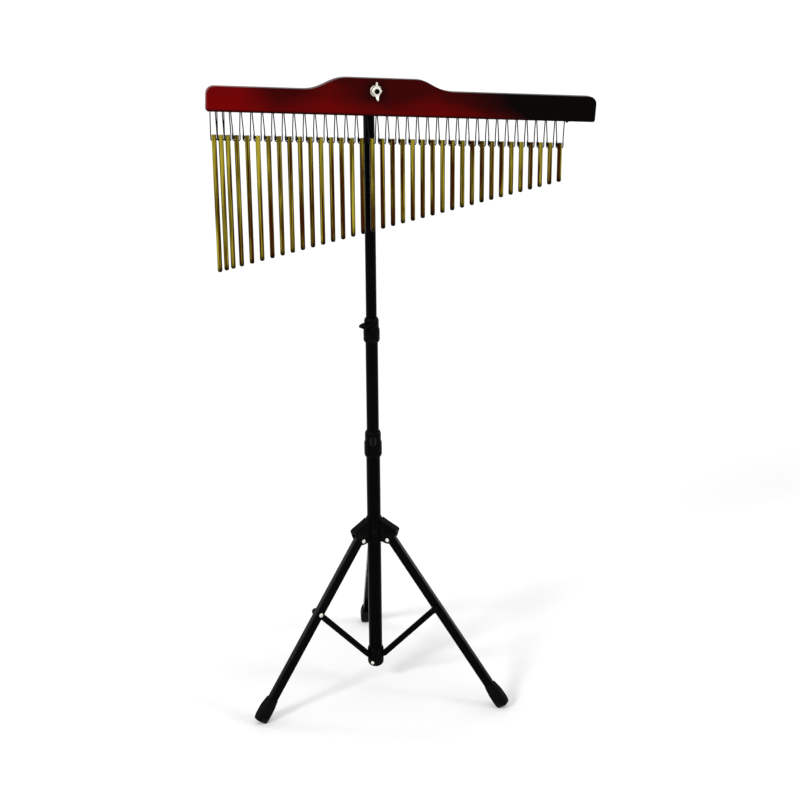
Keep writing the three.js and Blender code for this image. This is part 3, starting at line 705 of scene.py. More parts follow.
def lacquered_wood():
    """Shaded lacquer over long grain: red at the left and towards the lower edge, black at the right,
    with painted shade along the bottom edge and a painted shadow round the bolt.
    """
    colours, wood = settings().colours, settings().bar
    finish = Finish("shaded_lacquer_on_wood", "lacquered_wood")
    place = finish.where(tilt=wood.tilt)
    shift, low = BAR_SHIFT * MM, UNDERSIDE * MM
    along = finish.band(finish.parts(place, "X"), shift - wood.left, shift + wood.right)
    up = finish.band(finish.parts(place, "Z"), low, low + wood.height + wood.hump_rise)
    cloud = finish.speckle((9, 9, 22), 3)
    grain = finish.speckle((7, 260, 330), 5, wood.tilt)
    pores = finish.speckle((60, 900, 1300), 2, wood.tilt)
    stops = ((0, 0.36), (0.08, 0.4), (0.17, 0.94), (0.3, 0.6), (0.45, 0.95), (0.57, 0.7), (0.68, 0.98))
    fade = finish.add("ShaderNodeValToRGB", {"stops": stops}, {"Fac": along})
    depth = finish.add("ShaderNodeRGBToBW", {}, {"Color": fade}) + cloud.swing(0.3)
    depth = depth + (up - 0.3) * 0.9 * depth + grain.swing(0.3)
    tone = finish.mixed(finish.band(depth, 0, 1), colours.lacquer_red, colours.lacquer_deep)
    dark = finish.band(along + cloud.swing(0.06) + (up - 0.3) * 0.1, 0.65, 0.79)
    # Painted shade: a thin band along the bottom edge is darkened towards the lacquer black.
    edge = (1 - finish.band(up, 0.035, 0.1)) * 0.85
    # Painted shadow: a ring round the bolt, just outside the washer and wing nut, is darkened towards
    # the lacquer black.
    from_bolt = finish.add("ShaderNodeVectorMath", {"operation": "LENGTH"}, {0: place}, "Value")
    bolt_shadow = (1 - finish.band(from_bolt + cloud.swing(0.01), 0.014, 0.026)) * 0.65
    return finish.laid_on(
        Base_Color=finish.mixed(dark.larger(edge).larger(bolt_shadow), tone, colours.lacquer_black),
        Roughness=0.3 + grain.swing(0.15),
        Specular_IOR_Level=0.02,
        Coat_Weight=0.015,
        Coat_Roughness=0.1,
        Normal=finish.relief(grain * 0.6 + pores * 0.4, 0.00012, 0.5),
    )


def chime_metal():
    """Drawn rod with a yellow skin: long streaks, a browner lower part, dark cut ends, and painted shade
    and painted highlight on opposite sides.
    """
    colours = settings().colours
    finish = Finish("yellow_drawn_aluminium", "chime_metal")
    own = finish.add("ShaderNodeObjectInfo", out="Random")
    below_top, above_end, browned = (
        finish.add("ShaderNodeAttribute", {"attribute_name": name}, out="Fac")
        for name in ("below_top", "above_end", "browned")
    )
    # Runs across each chime from its left side to its right side, for the painted side shade and
    # highlight.
    side = finish.parts(finish.where(), "X") / (settings().chimes.diameter / 2)
    place = finish.add("ShaderNodeVectorMath", {}, {0: finish.where(), 1: own * 3}, "Vector")
    streak, smear, fine = (
        finish.noise(finish.stretched(place, (across, across, along)), detail)
        for across, along, detail in ((420, 9, 4), (160, 24, 3), (5200, 60, 2))
    )
    # Painted shade and painted highlight: one side of each chime is painted darker and the other side
    # lighter. The per-chime browning value browns the chime and turns this round from the left chimes to
    # the right ones.
    light = side * (browned * 2.4 - 0.34) + 0.6 + streak.swing(4) + own.swing(0.6)
    light = light + smear.swing(0.9) - finish.band(below_top, 0.01, 0.12) * 0.35 - browned
    tone = finish.mixed(finish.band(light, 0.0, 0.45), colours.chime_brown, colours.chime_olive)
    tone = finish.mixed(finish.band(light, 0.45, 1.0), tone, colours.chime_yellow)
    tip = 1 - finish.band(above_end + smear.swing(0.006), 0.0035, 0.011)
    return finish.laid_on(
        Base_Color=finish.mixed(tip * 0.9, tone, colours.chime_tip),
        Metallic=1.0,
        Roughness=0.34 + smear.swing(0.25),
        Normal=finish.relief(streak * 0.5 + fine * 0.5, 0.00005, 0.4),
    )


def cord_fibre():
    """Twisted cord, with its strands as relief and painted shade in the hollows between them."""
    finish = Finish("twisted_cord", "cord_fibre")
    lay = finish.add("ShaderNodeUVMap", {"uv_map": "lay"})
    turn, run = (finish.parts(lay, axis) for axis in "XY")
    strands, length_of_lay = 3, 2.2
    turns = turn * strands + run / length_of_lay
    sine = {0: turns * (2 * pi)}
    wave = finish.add("ShaderNodeMath", {"operation": "SINE"}, sine) * 0.5 + 0.5
    fluff = finish.speckle(2500, 2)
    base = settings().colours.cord
    # Painted shade: the hollows between the strands take this darker colour.
    dark = [value * 0.3 for value in base]
    return finish.laid_on(
        Base_Color=finish.mixed(finish.band(wave * 0.7 + fluff * 0.3, 0.15, 0.75), dark, base),
        Roughness=0.62 + fluff.swing(0.2),
        Specular_IOR_Level=0.05,
        Normal=finish.relief(wave, 0.00025, 0.8),
    )


def bright_steel():
    """Bright plated steel with fine wiping marks and faint warm stains."""
    steel = settings().colours.steel
    finish = Finish("bright_plated_steel", "bright_steel")
    wipe = finish.speckle((900, 900, 4200), 3)
    stain = finish.speckle(130, 3)
    warm = [value * share for value, share in zip(steel, (0.75, 0.7, 0.55))]
    return finish.laid_on(
        Base_Color=finish.mixed(finish.band(stain, 0.5, 0.8), steel, warm),
        Metallic=1.0,
        Roughness=0.3 + finish.band(wipe, 0.35, 0.75) * 0.16,
        Normal=finish.relief(wipe, 0.00004, 0.35),
    )


def black_paint():
    """Glossy black paint with a little orange peel, dust and faint long scuffs."""
    paint = settings().colours.paint
    finish = Finish("glossy_black_paint", "black_tube")
    peel = finish.speckle(520, 2)
    scuff = finish.speckle((1600, 1600, 26), 4)
    dust = finish.speckle(2600, 2)
    mark = finish.band(scuff, 0.64, 0.8) * 0.5
    grey = [value + 0.012 for value in paint]
    return finish.laid_on(
        Base_Color=finish.mixed(mark + finish.band(dust, 0.7, 0.85) * 0.25, paint, grey),
        Roughness=0.21 + mark * 0.25 + dust.swing(0.06),
        Specular_IOR_Level=0.02,
        Normal=finish.relief(peel, 0.00005, 0.3),
    )


def black_plastic():
    """Moulded black plastic with a fine grained skin and paler places worn by rubbing."""
    plastic = settings().colours.plastic
    finish = Finish("moulded_black_plastic", "black_plastic")
    grain = finish.speckle(1500, 3)
    rub = finish.speckle(70, 4)
    pale = [value + 0.008 for value in plastic]
    return finish.laid_on(
        Base_Color=finish.mixed(finish.band(rub, 0.5, 0.8) * 0.6, plastic, pale),
        Roughness=0.36 + rub.swing(0.25),
        Specular_IOR_Level=0.02,
        Normal=finish.relief(grain, 0.00008, 0.45),
    )


def foot_rubber():
    """Dull rubber with a soft pitted skin and floor dust near the sole."""
    finish = Finish("foot_rubber", "foot_rubber")
    pits = finish.speckle(900, 4)
    patch = finish.speckle(120, 3)
    height = finish.parts(finish.where(), "Z")
    dusty = (1 - finish.band(height + patch.swing(0.02), 0.001, 0.012)) * 0.4
    dusty, dust = dusty + finish.band(patch, 0.6, 0.8) * 0.15, (0.03, 0.028, 0.026)
    return finish.laid_on(
        Base_Color=finish.mixed(dusty, settings().colours.rubber, dust),
        Roughness=0.6 + patch.swing(0.2),
        Specular_IOR_Level=0.03,
        Normal=finish.relief(pits, 0.00015, 0.45),
    )


cupboard = {}


def finish_of(maker):
    """The finish that a maker gives, made once."""
    if maker not in cupboard:
        cupboard[maker] = maker()
    return cupboard[maker]


# Wooden bar and its fittings


def bar_outline():
    """The bar from the front, from its lower right corner up, over the hump and down at the left."""
    low_top = UNDERSIDE + bar.height
    high_top, crown = low_top + bar.right_rise, low_top + bar.hump_rise
    west, east = -bar.hump_left, bar.hump_right
    west_foot, east_foot = west - bar.left_shoulder, east + bar.right_shoulder
    upper, lower = 13, 4
    return [
        *arc((bar.right - lower, UNDERSIDE + lower), lower, -90, 0, 5),
        *arc((bar.right - upper, high_top - upper), upper, 0, 90, 8),
        *bezier((east_foot, high_top), (east_foot - bar.right_shoulder * 0.55, high_top),
                (east + bar.right_shoulder * 0.3, crown), (east, crown), 14),
        *bezier((west, crown), (west - bar.left_shoulder * 0.45, crown),
                (west_foot + bar.left_shoulder * 0.45, low_top), (west_foot, low_top), 14),
        *arc((upper - bar.left, low_top - upper), upper, 90, 180, 8),
        *arc((lower - bar.left, UNDERSIDE + lower), lower, 180, 270, 5),
    ]


class BARCHIMES_OT_wooden_bar(Operator):
    """Cuts the wooden bar to its outline, rounds it, and drills it for the cord and the bolt"""

    bl_idname = "bar_chimes.wooden_bar"
    bl_label = "Wooden bar"

    def execute(self, context):
        wood = slab(bar_outline(), bar.thickness, bar.edge_round, 6)
        low, end = UNDERSIDE, ROD_LEVEL + 4
        drill = on_lathe([
            (0, low - 2), (4.6, low - 2), (4, low - 0.1), (3.2, low + 0.7), (3.2, ROD_LEVEL + 3.2),
            (2.4, end), (0, end),
        ], 24)
        holes = [hole_at(number) for number in range(settings().chimes.count + 1)]
        wood = wood - together([drill.moved(hole) for hole in holes])
        beyond, side = 3.8, 1 + SEAT
        left, right = holes[0] - beyond, holes[-1] + beyond
        wood = wood - block((left, -side, ROD_LEVEL - side), (right, side, ROD_LEVEL + side))
        bolt_hole = crosswise(rod(3.4, -bar.thickness, bar.thickness)).moved(-BAR_SHIFT)
        wood = (wood - bolt_hole).placed(bar_frame())
        fitted(wood, "wooden_bar", "header", lacquered_wood, ["header_bar"], bolt_place())
        hidden_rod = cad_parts["cord_rod"].data.materials
        hidden_rod.clear()
        hidden_rod.append(finish_of(bright_steel).material)
        return {"FINISHED"}


def washer_face():
    """The front of the washer, as a place along Y."""
    return -bar.forward - bar.thickness / 2 - WASHER_ROOM


def nut_frame():
    """The wing nut's own frame: Z out of the bar towards the player, X up."""
    place = Matrix.Translation((0, washer_face(), bar.bolt_height))
    return place @ Matrix.Rotation(-pi / 2, 4, "Y") @ Matrix.Rotation(pi / 2, 4, "X")


class BARCHIMES_OT_wing_nut(Operator):
    """Makes the bright wing nut with upright wings, and the washer that it presses on the bar"""

    bl_idname = "bar_chimes.wing_nut"
    bl_label = "Wing nut and washer"

    def execute(self, context):
        height, bore = NUT_HEIGHT, 3.35
        body = eased_on_lathe([(0, 0), (8.3, 0), (6.4, height), (0, height)], 0.9, 48)
        rings = []
        for out, low, high, thick in (
            (-1, 0.3, 8.2, 19), (1.5, 0.3, 8.2, 17.8), (4.5, 0.4, 8.4, 13.6), (6.5, 0.6, 8.8, 10),
            (8.5, 1.4, 9.6, 7), (10.3, 2.8, 10.8, 5), (12.2, 4.6, 12, 3.8), (13.8, 6.2, 12.4, 3.2),
            (14.8, 7.6, 12.1, 2.4), (15.25, 8.9, 11.2, 1.2),
        ):
            ring = rounded_rectangle(high - low, thick, min(high - low, thick) * 0.42, 4)
            rings.append([(out, p.y, (low + high) / 2 - p.x) for p in ring])
        wing = lofted(rings)
        mouth = on_lathe([
            (0, -1), (bore, -1), (bore, height - 1.6), (bore + 1, height - 0.3),
            (bore + 1, height + 4), (0, height + 4),
        ])
        nut = ((body + wing + wing.turned(180)) - mouth).turned(3).placed(nut_frame())
        fitted(nut, "wing_nut_bright", "wing_nut_body", bright_steel, ["wing_nut"])
        rim = [(3.5, -1.9), (9.4, -1.9), (9.4, -0.35), (3.5, -0.35)]
        washer = on_lathe(eased(rim, 0.5), 64, ring=True)
        fitted(washer.placed(nut_frame()), "bolt_washer", "header", bright_steel)
        return {"FINISHED"}


class BARCHIMES_OT_head_bracket(Operator):
    """Makes the bracket on top of the mast: its socket, its plate behind the bar, and its stud"""

    bl_idname = "bar_chimes.head_bracket"
    bl_label = "Head bracket"

    def execute(self, context):
        bolt, face = bar.bolt_height, -bar.forward + bar.thickness / 2 + SEAT
        socket, roof = 13, bolt - ROOF_BELOW_BOLT
        bottom, top = roof - 30, bolt + 10
        column = eased_on_lathe([
            (0, bottom), (socket, bottom), (socket, bottom + 7), (socket - 0.7, bottom + 7.6),
            (socket - 0.7, bottom + 8.6), (socket, bottom + 9.2), (socket, top), (0, top),
        ], 1.6, steps=4)
        board = slab(rounded_rectangle(48, 40, 6, 8), 3.5, 1.0).moved(y=face + 1.75, z=bolt - 6)
        neck = crosswise(rod(9, face + 1, 0, 48)).moved(z=bolt)
        web = slab([
            (face + 1, bolt - 22), (2 - socket, bottom + 3), (2 - socket, bolt), (face + 1, bolt),
        ], 4, 0.8).turned(90)
        end = washer_face() - NUT_HEIGHT - 1.5
        shank, crest, root, pitch = 3, 2.9, 2.45, 1
        profile, turn = [(0, end), (2.2, end)], end + 0.6
        while turn < face - 22:
            profile += [(crest, turn), (root, turn + pitch / 2)]
            turn += pitch
        profile += [(shank, face - 21), (shank, face + 1), (0, face + 1)]
        stud = crosswise(on_lathe(profile, 32))
        bracket = column + board + neck + web + stud.moved(z=bolt)
        bracket = bracket - rod(stand.top_tube / 2 + FIT, bottom - 1, roof, 64)
        fitted(bracket, "bracket_and_stud", "top", black_plastic, ["head_bracket"])
        return {"FINISHED"}


# Chimes and cord


def chime_blank():
    """The longest chime, with its cross hole and eased ends, hung from its own hinge."""
    radius, top = chimes.diameter / 2, -chimes.drop
    bottom = top - chimes.longest
    blank = eased_on_lathe([
        (0, bottom), (radius - 2.2, bottom + 0.2), (radius - 0.7, bottom + 1.1),
        (radius, bottom + 3.2), (radius, top), (0, top),
    ], 1.1, 32, 4)
    half = [(0, 6), (2.6, 6), (2.0, radius - 0.1), (1.4, radius - 0.9)]
    drill = on_lathe([(r, -z) for r, z in half] + half[::-1], 20)
    return blank - outwards(drill, height=top - CROSS_HOLE_BELOW_TOP)


class BARCHIMES_OT_chimes(Operator):
    """Cuts the chimes to length and hangs each one under its own place on the bar"""

    bl_idname = "bar_chimes.chimes"
    bl_label = "Chimes"

    def execute(self, context):
        blank, count, top = chime_blank(), settings().chimes.count, -chimes.drop
        cut_zone = top - chimes.longest / 2
        for number in range(1, count + 1):
            hinge, size, _ = chime_place(number)
            cut = blank.moved()  # a copy, for this chime to be cut from
            for point in cut.mesh.vertices:
                if point.co.z < cut_zone:
                    point.co.z += chimes.longest - size
            name, body = f"chime_{number:02d}", f"bar_{number:02d}"
            piece = fitted(cut.moved(*hinge), f"rod_{name}", body, chime_metal, [name], hinge)
            heights = [point.co.z / MM for point in piece.data.vertices]
            for mark, values in (
                ("below_top", [(top - z) * MM for z in heights]),
                ("above_end", [(z - top + size) * MM for z in heights]),
                # Browns each chime a little more towards the right, and turns round its painted side
                # shade and highlight.
                ("browned", [0.38 * (number - 1) / count] * len(heights)),
            ):
                piece.data.attributes.new(mark, "FLOAT", "POINT").data.foreach_set("value", values)
        return {"FINISHED"}


def cord_loop(number):
    """One chime's part of the cord: down from a hole, through the chime, and up to the next hole."""
    hinge, _, top = chime_place(number)
    cord, inside = chimes.cord / 2, chimes.diameter / 2
    holes = [hole_at(number - 1), hole_at(number)]
    crowded = holes[1] - holes[0] < WIDE_PITCH - 1
    # The swells thicken the dark cord beside the top of each chime into a knot, which also stands in for
    # the shade in the gap beside the chime.
    reach, aside, swells = (4.85, 1.2, (0.95, 0.7)) if crowded else (5.7, 0, (1.85, 1.1))
    cross = top - CROSS_HOLE_BELOW_TOP + 0.3
    stations = []
    for side, hole, swell in zip((-1, 1), holes, swells):
        mouth = hole - side * STRAND_OFF_HOLE
        leg = [
            (on_bar(mouth, 0, UNDERSIDE + 1), cord),
            (on_bar(mouth - side * 0.2, -side * aside * 0.2, UNDERSIDE - 3), cord),
        ]
        x, y = hinge.x + side * reach, hinge.y - side * aside
        for shift, above, size in (
            (0, 7, cord), (0.1, 2, max(cord, swell * 0.6)), (0.1, -1, swell),
            (0.1, -5.5, swell * 0.95), (-0.1, -7.4, cord),
        ):
            leg.append((Vector((x + side * shift, y, top + above)), size))
        for depth, sag in ((0.5, 0), (-1.2, 0.1)):
            x = hinge.x + side * (inside + depth)
            leg.append((Vector((x, hinge.y, cross - sag)), cord))
        stations += leg if side < 0 else leg[::-1]
    return stations


def over_rod(number):
    """The cord's turn over the hidden rod in one hole; its two strands leave the hole side by side."""
    half = [
        (STRAND_OFF_HOLE, 0, UNDERSIDE - 0.2), (0.75, 1.2, UNDERSIDE + 4), (0.2, 1.9, ROD_LEVEL - 3),
        (0, 1.95, ROD_LEVEL), (0, 1.35, ROD_LEVEL + 1.45),
    ]
    path = [(-along, -through, up) for along, through, up in half if number or up > UNDERSIDE]
    path += [(0, 0, ROD_LEVEL + 2), *half[::-1]]
    middle, cord = hole_at(number), chimes.cord / 2
    return [(on_bar(middle + along, through, up), cord) for along, through, up in path]


def knot(centre, size, cord):
    """A small overhand knot."""
    stations = []
    for a in [*circle(18), 2 * pi]:
        lift = sin(a) + 2 * sin(2 * a)
        run = cos(a) - 2 * cos(2 * a)
        stations.append((centre + Vector((lift, run, -1.2 * sin(3 * a))) * size / 3, cord))
    return strand(stations, 0.6, 8)


class BARCHIMES_OT_lacing_cord(Operator):
    """Laces the cord over the hidden rod and through every chime, and knots its ends"""

    bl_idname = "bar_chimes.lacing_cord"
    bl_label = "Lacing cord"

    def execute(self, context):
        count, cord = settings().chimes.count, chimes.cord / 2
        turns = [strand(over_rod(number), 1.2) for number in range(count + 1)]
        end = hole_at(count) + STRAND_OFF_HOLE
        first = on_bar(hole_at(0) - 0.6, -1.2, UNDERSIDE + 4)
        last = on_bar(end + 1.9, -0.3, UNDERSIDE - 2)
        tail = [
            (on_bar(end, 0, UNDERSIDE + 1), cord), (on_bar(end + 0.4, 0, UNDERSIDE - 0.8), cord),
            (last, cord), (on_bar(end + 4.6, -0.5, UNDERSIDE - 1.3), cord * 0.8),
        ]
        turns += [knot(last, 0.8, cord), knot(first, 0.75, cord), strand(tail, 0.8)]
        replaced, crease = ["lacing_cord"], 60
        fitted(together(turns), "cord_in_bar", "header", cord_fibre, replaced, crease=crease)
        for number in range(1, count + 1):
            loop, hinge = strand(cord_loop(number)), chime_place(number)[0]
            name, body = f"cord_loop_{number:02d}", f"bar_{number:02d}"
            fitted(loop, name, body, cord_fibre, replaced, hinge, crease)
        return {"FINISHED"}


# Mast


class BARCHIMES_OT_mast_tubes(Operator):
    """Turns the three telescoping tubes of the mast, with eased lips"""

    bl_idname = "bar_chimes.mast_tubes"
    bl_label = "Mast tubes"

    def execute(self, context):
        for name, diameter, bottom, top, body in (
            ("top", stand.top_tube, 600, bar.bolt_height - ROOF_BELOW_BOLT - SEAT, "top"),
            ("middle", stand.middle_tube, 262, MIDDLE_TUBE_TOP, "middle"),
            ("lower", stand.lower_tube, 43.5, LOWER_TUBE_TOP, "base"),
        ):
            outer = diameter / 2
            inner = outer - TUBE_WALL
            wall = [(inner, bottom), (outer, bottom), (outer, top), (inner, top)]
            pipe = on_lathe(eased(wall, 0.45), 64, ring=True)
            fitted(pipe, f"{name}_tube_painted", body, black_paint, [f"{name}_tube"])
        return {"FINISHED"}


def screw_boss(face, azimuth, height):
    """A boss that stands out from a sleeve to its face, and the hole for a thumb screw's shank."""
    hole = outwards(rod(SHANK + FIT, 0, face + 1), azimuth, height)
    return outwards(rod(6.5, 1, face, 48, 0.6), azimuth, height), hole


def clutch(bottom, top, outer_tube, inner_tube, tube_end, height, azimuth):
    """A clutch that grips the inner tube where the outer one ends, and the face of its boss."""
    wall = 2.2
    low = outer_tube / 2 + FIT + wall + 0.85
    high = inner_tube / 2 + FIT + wall
    step = tube_end + 4
    body = eased_on_lathe([
        (0, bottom), (low - 1.6, bottom), (low, bottom + 4), (low, bottom + 8),
        (low - 0.6, bottom + 8.5), (low - 0.6, bottom + 9.5), (low, bottom + 10), (low, step),
        (high + 0.85, step + 4), (high + 0.85, top - 4), (high - 0.8, top), (0, top),
    ], 0.8)
    face = low + 1.4
    boss, screw_hole = screw_boss(face, azimuth, height)
    slit = block((-low - 2, -0.7, tube_end + 2), (0, 0.7, top + 1)).turned(azimuth)
    shell = (body + boss) - rod(outer_tube / 2 + FIT, bottom - 1, tube_end + SEAT, 64)
    shell = shell - rod(inner_tube / 2 + FIT, bottom - 1, top + 1, 64)
    return shell - screw_hole - slit, face


# Grips of the thumb screws, as rows of (out, half height, half width)
OVAL_GRIP = (
    (0, 5.9, 3.4), (0.5, 6.3, 3.7), (1.6, 6.9, 4.0), (3.2, 8.6, 4.9), (5, 9.5, 5.5),
    (6.8, 9.3, 5.35), (8.5, 8.2, 4.7), (10.2, 6.5, 3.7), (11.8, 4.5, 2.7), (12.6, 3.2, 1.9),
    (13, 1.8, 1.2),
)
POINTED_GRIP = (
    (0, 6.0, 5.4), (0.5, 6.5, 5.8), (2, 7.4, 5.6), (4, 8.2, 4.8), (6, 8.2, 3.9), (8, 7.2, 3.0),
    (10, 5.6, 2.0), (11.6, 3.8, 1.2), (12.6, 2.4, 0.7), (13, 1.2, 0.4),
)


def thumb_screw(tip, face, grip):
    """A screw along +X: a round shank and a grooved grip."""
    start = face + SEAT
    rings = []
    for along, tall, wide in grip:
        ring = []
        for angle in circle(48):
            c, s = cos(angle), sin(angle)
            y = copysign(abs(c) ** 0.8, c) * wide
            z = copysign(abs(s) ** 0.9, s) * tall
            groove = 0.05 * cos(z * pi / 1.6) if 1 < along < 12 else 0
            ring.append((start + along, y * (1 + groove), z))
        rings.append(ring)
    return lofted(rings) + outwards(rod(SHANK, tip, start + 2))


def screwed_in(name, node, tube, face, azimuth, height, grip=OVAL_GRIP, roll=0):
    """Puts a thumb screw in its boss, with its tip against a tube."""
    place = Matrix.Translation((0, 0, height)) @ around(azimuth)
    screw = thumb_screw(tube / 2 + SEAT, face, grip).turned(roll, "X").placed(place)
    fitted(screw, f"{name}_thumb_screw", f"{name}_lock", black_plastic, [node])


def fitted_clutch(name, body, ends, outer_tube, inner_tube, tube_end, height, azimuth, *look):
    """Puts a clutch and its thumb screw where one tube ends on the next."""
    shell, face = clutch(*ends, outer_tube, inner_tube, tube_end, height, azimuth)
    fitted(shell, f"{name}_clutch_moulded", body, black_plastic, [f"{name}_clutch"])
    screwed_in(name, f"{name}_clutch_knob", inner_tube, face, azimuth, height, *look)


class BARCHIMES_OT_tube_clutches(Operator):
    """Makes the two tube clutches and their thumb screws"""

    bl_idname = "bar_chimes.tube_clutches"
    bl_label = "Tube clutches"

    def execute(self, context):
        top, middle, lower = stand.top_tube, stand.middle_tube, stand.lower_tube
        fitted_clutch("upper", "middle", (671.5, 715), middle, top, MIDDLE_TUBE_TOP, 703, 214,
                      POINTED_GRIP, 90)
        pinch_screw = outwards(rivet_head(4.4, 1.3), 264, MIDDLE_TUBE_TOP + 2.5, middle / 2 + 3.35)
        fitted(pinch_screw, "clutch_screw_head", "middle", black_paint)
        fitted_clutch("lower", "base", (458, 506), lower, middle, LOWER_TUBE_TOP, 493.5, 258)
        return {"FINISHED"}


# Tripod


def rivet_head(across, height):
    """A domed head that stands on Z = 0, with a thin flange under it."""
    radius = across / 2
    dome = ((1.0, 0.3), (0.98, 0.5), (0.92, 0.68), (0.8, 0.82), (0.62, 0.92), (0.35, 0.98), (0, 1.0))
    return on_lathe([(0, -0.6), (radius, -0.6), *((radius * r, height * z) for r, z in dome)], 32)


def riveted_pins(reach, height, half, seat, head):
    """A pin for each leg, at its reach from the mast's axis, with a head at both of its ends."""
    pins = []
    for azimuth in LEG_AZIMUTHS:
        pin = crosswise(rod(PIN, -half, half, 24))
        heads = [head.moved(z=seat).turned(side, "X") for side in (90, -90)]
        pins += [piece.moved(reach, 0, height).turned(azimuth) for piece in (pin, *heads)]
    return together(pins)


def hub_span():
    """Heights of the top and the bottom of the leg hub."""
    return hub_pivot_height() + HUB_ABOVE_PIVOT, hub_pivot_height() - HUB_BELOW_PIVOT


def hub_hood():
    """The hooded ear that holds one leg, and the room that is cut out of it for the leg."""
    top, bottom = hub_span()
    inner, pivot, tip = stand.lower_tube / 2 + FIT + 1, HUB_PIVOT_RADIUS, 47.5
    knee, knee_height, tip_height = pivot - 2.5, top - 8.5, top - 20
    hood = eased([
        (inner, bottom + 3.5), (pivot - 7.5, bottom + 1.5), (pivot - 3.5, bottom),
        (pivot + 3, bottom), (pivot + 6.5, bottom + 2), (pivot + 10, bottom + 7),
        (tip - 5, bottom + 12), (tip, tip_height), (tip - 3.5, tip_height + 3),
        (knee, knee_height), (inner, top - 1),
    ], 2.5)
    room = [
        (16.6, bottom - 5), (tip + 9, bottom - 5), (tip + 9, tip_height - 11),
        (tip - 4.5, tip_height - 0.4), (knee, knee_height - 3.4), (16.6, knee_height + 0.5),
    ]
    return slab(hood, 18, 1.6), slab(room, stand.leg_width + 2 * FIT + 0.1)


class BARCHIMES_OT_leg_hub(Operator):
    """Makes the sliding leg hub, its bright rivets and its thumb screw"""

    bl_idname = "bar_chimes.leg_hub"
    bl_label = "Leg hub"

    def execute(self, context):
        top, bottom = hub_span()
        bore = stand.lower_tube / 2 + FIT
        sleeve = [(0, bottom), (16, bottom), (16, top - 6), (bore + 1, top), (0, top)]
        hub = eased_on_lathe(sleeve, 1.2)
        hood, room = hub_hood()
        for azimuth in LEG_AZIMUTHS:
            hub = hub + hood.turned(azimuth)
        for azimuth in LEG_AZIMUTHS:
            hub = hub - room.turned(azimuth)
        pivot = hub_pivot_height()
        face, azimuth, height = 21, 26, pivot + 14
        boss, screw_hole = screw_boss(face, azimuth, height)
        hub = hub + boss - rod(bore, bottom - 1, top + 1, 64) - screw_hole
        fitted(hub, "leg_hub_moulded", "hub", black_plastic, ["leg_hub"])
        rivets = riveted_pins(HUB_PIVOT_RADIUS, pivot, 9, 9, rivet_head(7.6, 1.6))
        fitted(rivets, "hub_rivets", "hub", bright_steel)
        screwed_in("hub", "hub_lock_knob", stand.lower_tube, face, azimuth, height)
        return {"FINISHED"}


def channel(width, depth, wall, corner):
    """Section of a pressed channel, open at -X."""
    x, y = depth / 2, width / 2
    inner = corner - wall
    return [
        Vector((-x, -y)), *arc((x - corner, -y + corner), corner, -90, 0, 5),
        *arc((x - corner, y - corner), corner, 0, 90, 5), Vector((-x, y)), Vector((-x, y - wall)),
        *reversed(arc((x - corner, y - corner), inner, 0, 90, 3)),
        *reversed(arc((x - corner, -y + corner), inner, -90, 0, 3)), Vector((-x, -y + wall)),
    ]


def leg_blank():
    """A leg: a pressed channel with a rounded head and holes for its pin and its brace."""
    width, depth = stand.leg_width, stand.leg_depth
    end, head = HEEL - stand.leg_length, 1.5
    section = channel(width, depth, 1.4, 2.5)
    rows = [[(p.x + LEG_INSET, p.y, z) for p in section] for z in (end, depth / 2 + head)]
    back, front = LEG_INSET - depth, LEG_INSET + depth / 2 + 1
    side = [
        (back, end - 1), (front, end - 1), (front, 0),
        *arc((LEG_INSET, head), depth / 2, 0, 180, 20), (back, 0),
    ]
    brace_hole = crosswise(rod(BRACE_RIVET + 0.05, -width, width, 24))
    brace_hole = brace_hole.moved(LEG_INSET - BRACE_INSET, 0, -BRACE_ON_LEG)
    hole = crosswise(rod(PIN + FIT, -width, width, 24))
    return (lofted(rows) & slab(side, width + 2)) - hole - brace_hole


def cap_nut():
    """A hexagonal nut with a domed cap, standing on Z = 0."""
    corner = 12.5 / sqrt(3)
    hexagon = on_lathe([
        (0, -0.2), (corner - 0.4, -0.2), (corner, 0.3), (corner, 6.6), (corner - 1, 7.5), (0, 7.5),
    ], 6)
    dome = [(0, 1), (6.1, 1), (6.1, 7.8), (5.5, 10.4), (3.6, 12.3), (0, 12.8)]
    return hexagon + eased_on_lathe(dome, 1.0, 32)


class BARCHIMES_OT_legs(Operator):
    """Makes the three legs, with the rivet and the cap nut that join each one to its brace"""

    bl_idname = "bar_chimes.legs"
    bl_label = "Legs"

    def execute(self, context):
        side = stand.leg_width / 2
        spot = Matrix.Translation((LEG_INSET - BRACE_INSET, 0, -BRACE_ON_LEG))
        head = rivet_head(8.2, 1.9).moved(z=side).turned(-90, "X")
        rivet = together([head, crosswise(rod(BRACE_RIVET, -side, side, 24))]).placed(spot)
        nut = cap_nut().moved(z=side).turned(90, "X").placed(spot)
        fitted_on_legs(
            "leg_body", leg_frame, (leg_blank(), "leg_channel", black_paint, "leg"),
            (rivet, "brace_rivet", bright_steel), (nut, "cap_nut", black_plastic),
        )
        return {"FINISHED"}


class BARCHIMES_OT_braces(Operator):
    """Makes the three braces between the legs and the foot of the mast"""

    bl_idname = "bar_chimes.braces"
    bl_label = "Braces"

    def execute(self, context):
        depth, width, wall = 11, 8, 1.2
        half, inside, long = depth / 2, width / 2 - wall, brace_reach().length
        outline = [*arc((0, long), half, 0, 180, 16), *arc((0, 0), half, 180, 360, 16)]
        brace = slab(outline, width, 0.9, 3)
        brace = brace - block((wall - half, -inside, -depth), (depth, inside, long + depth))
        brace = brace - block((-depth, -inside, -depth), (depth, inside, 9.4))
        brace = brace - crosswise(rod(PIN + FIT, -width, width, 24))
        fitted_on_legs("brace_body", brace_frame, (brace, "brace_channel", black_paint, "brace"))
        return {"FINISHED"}


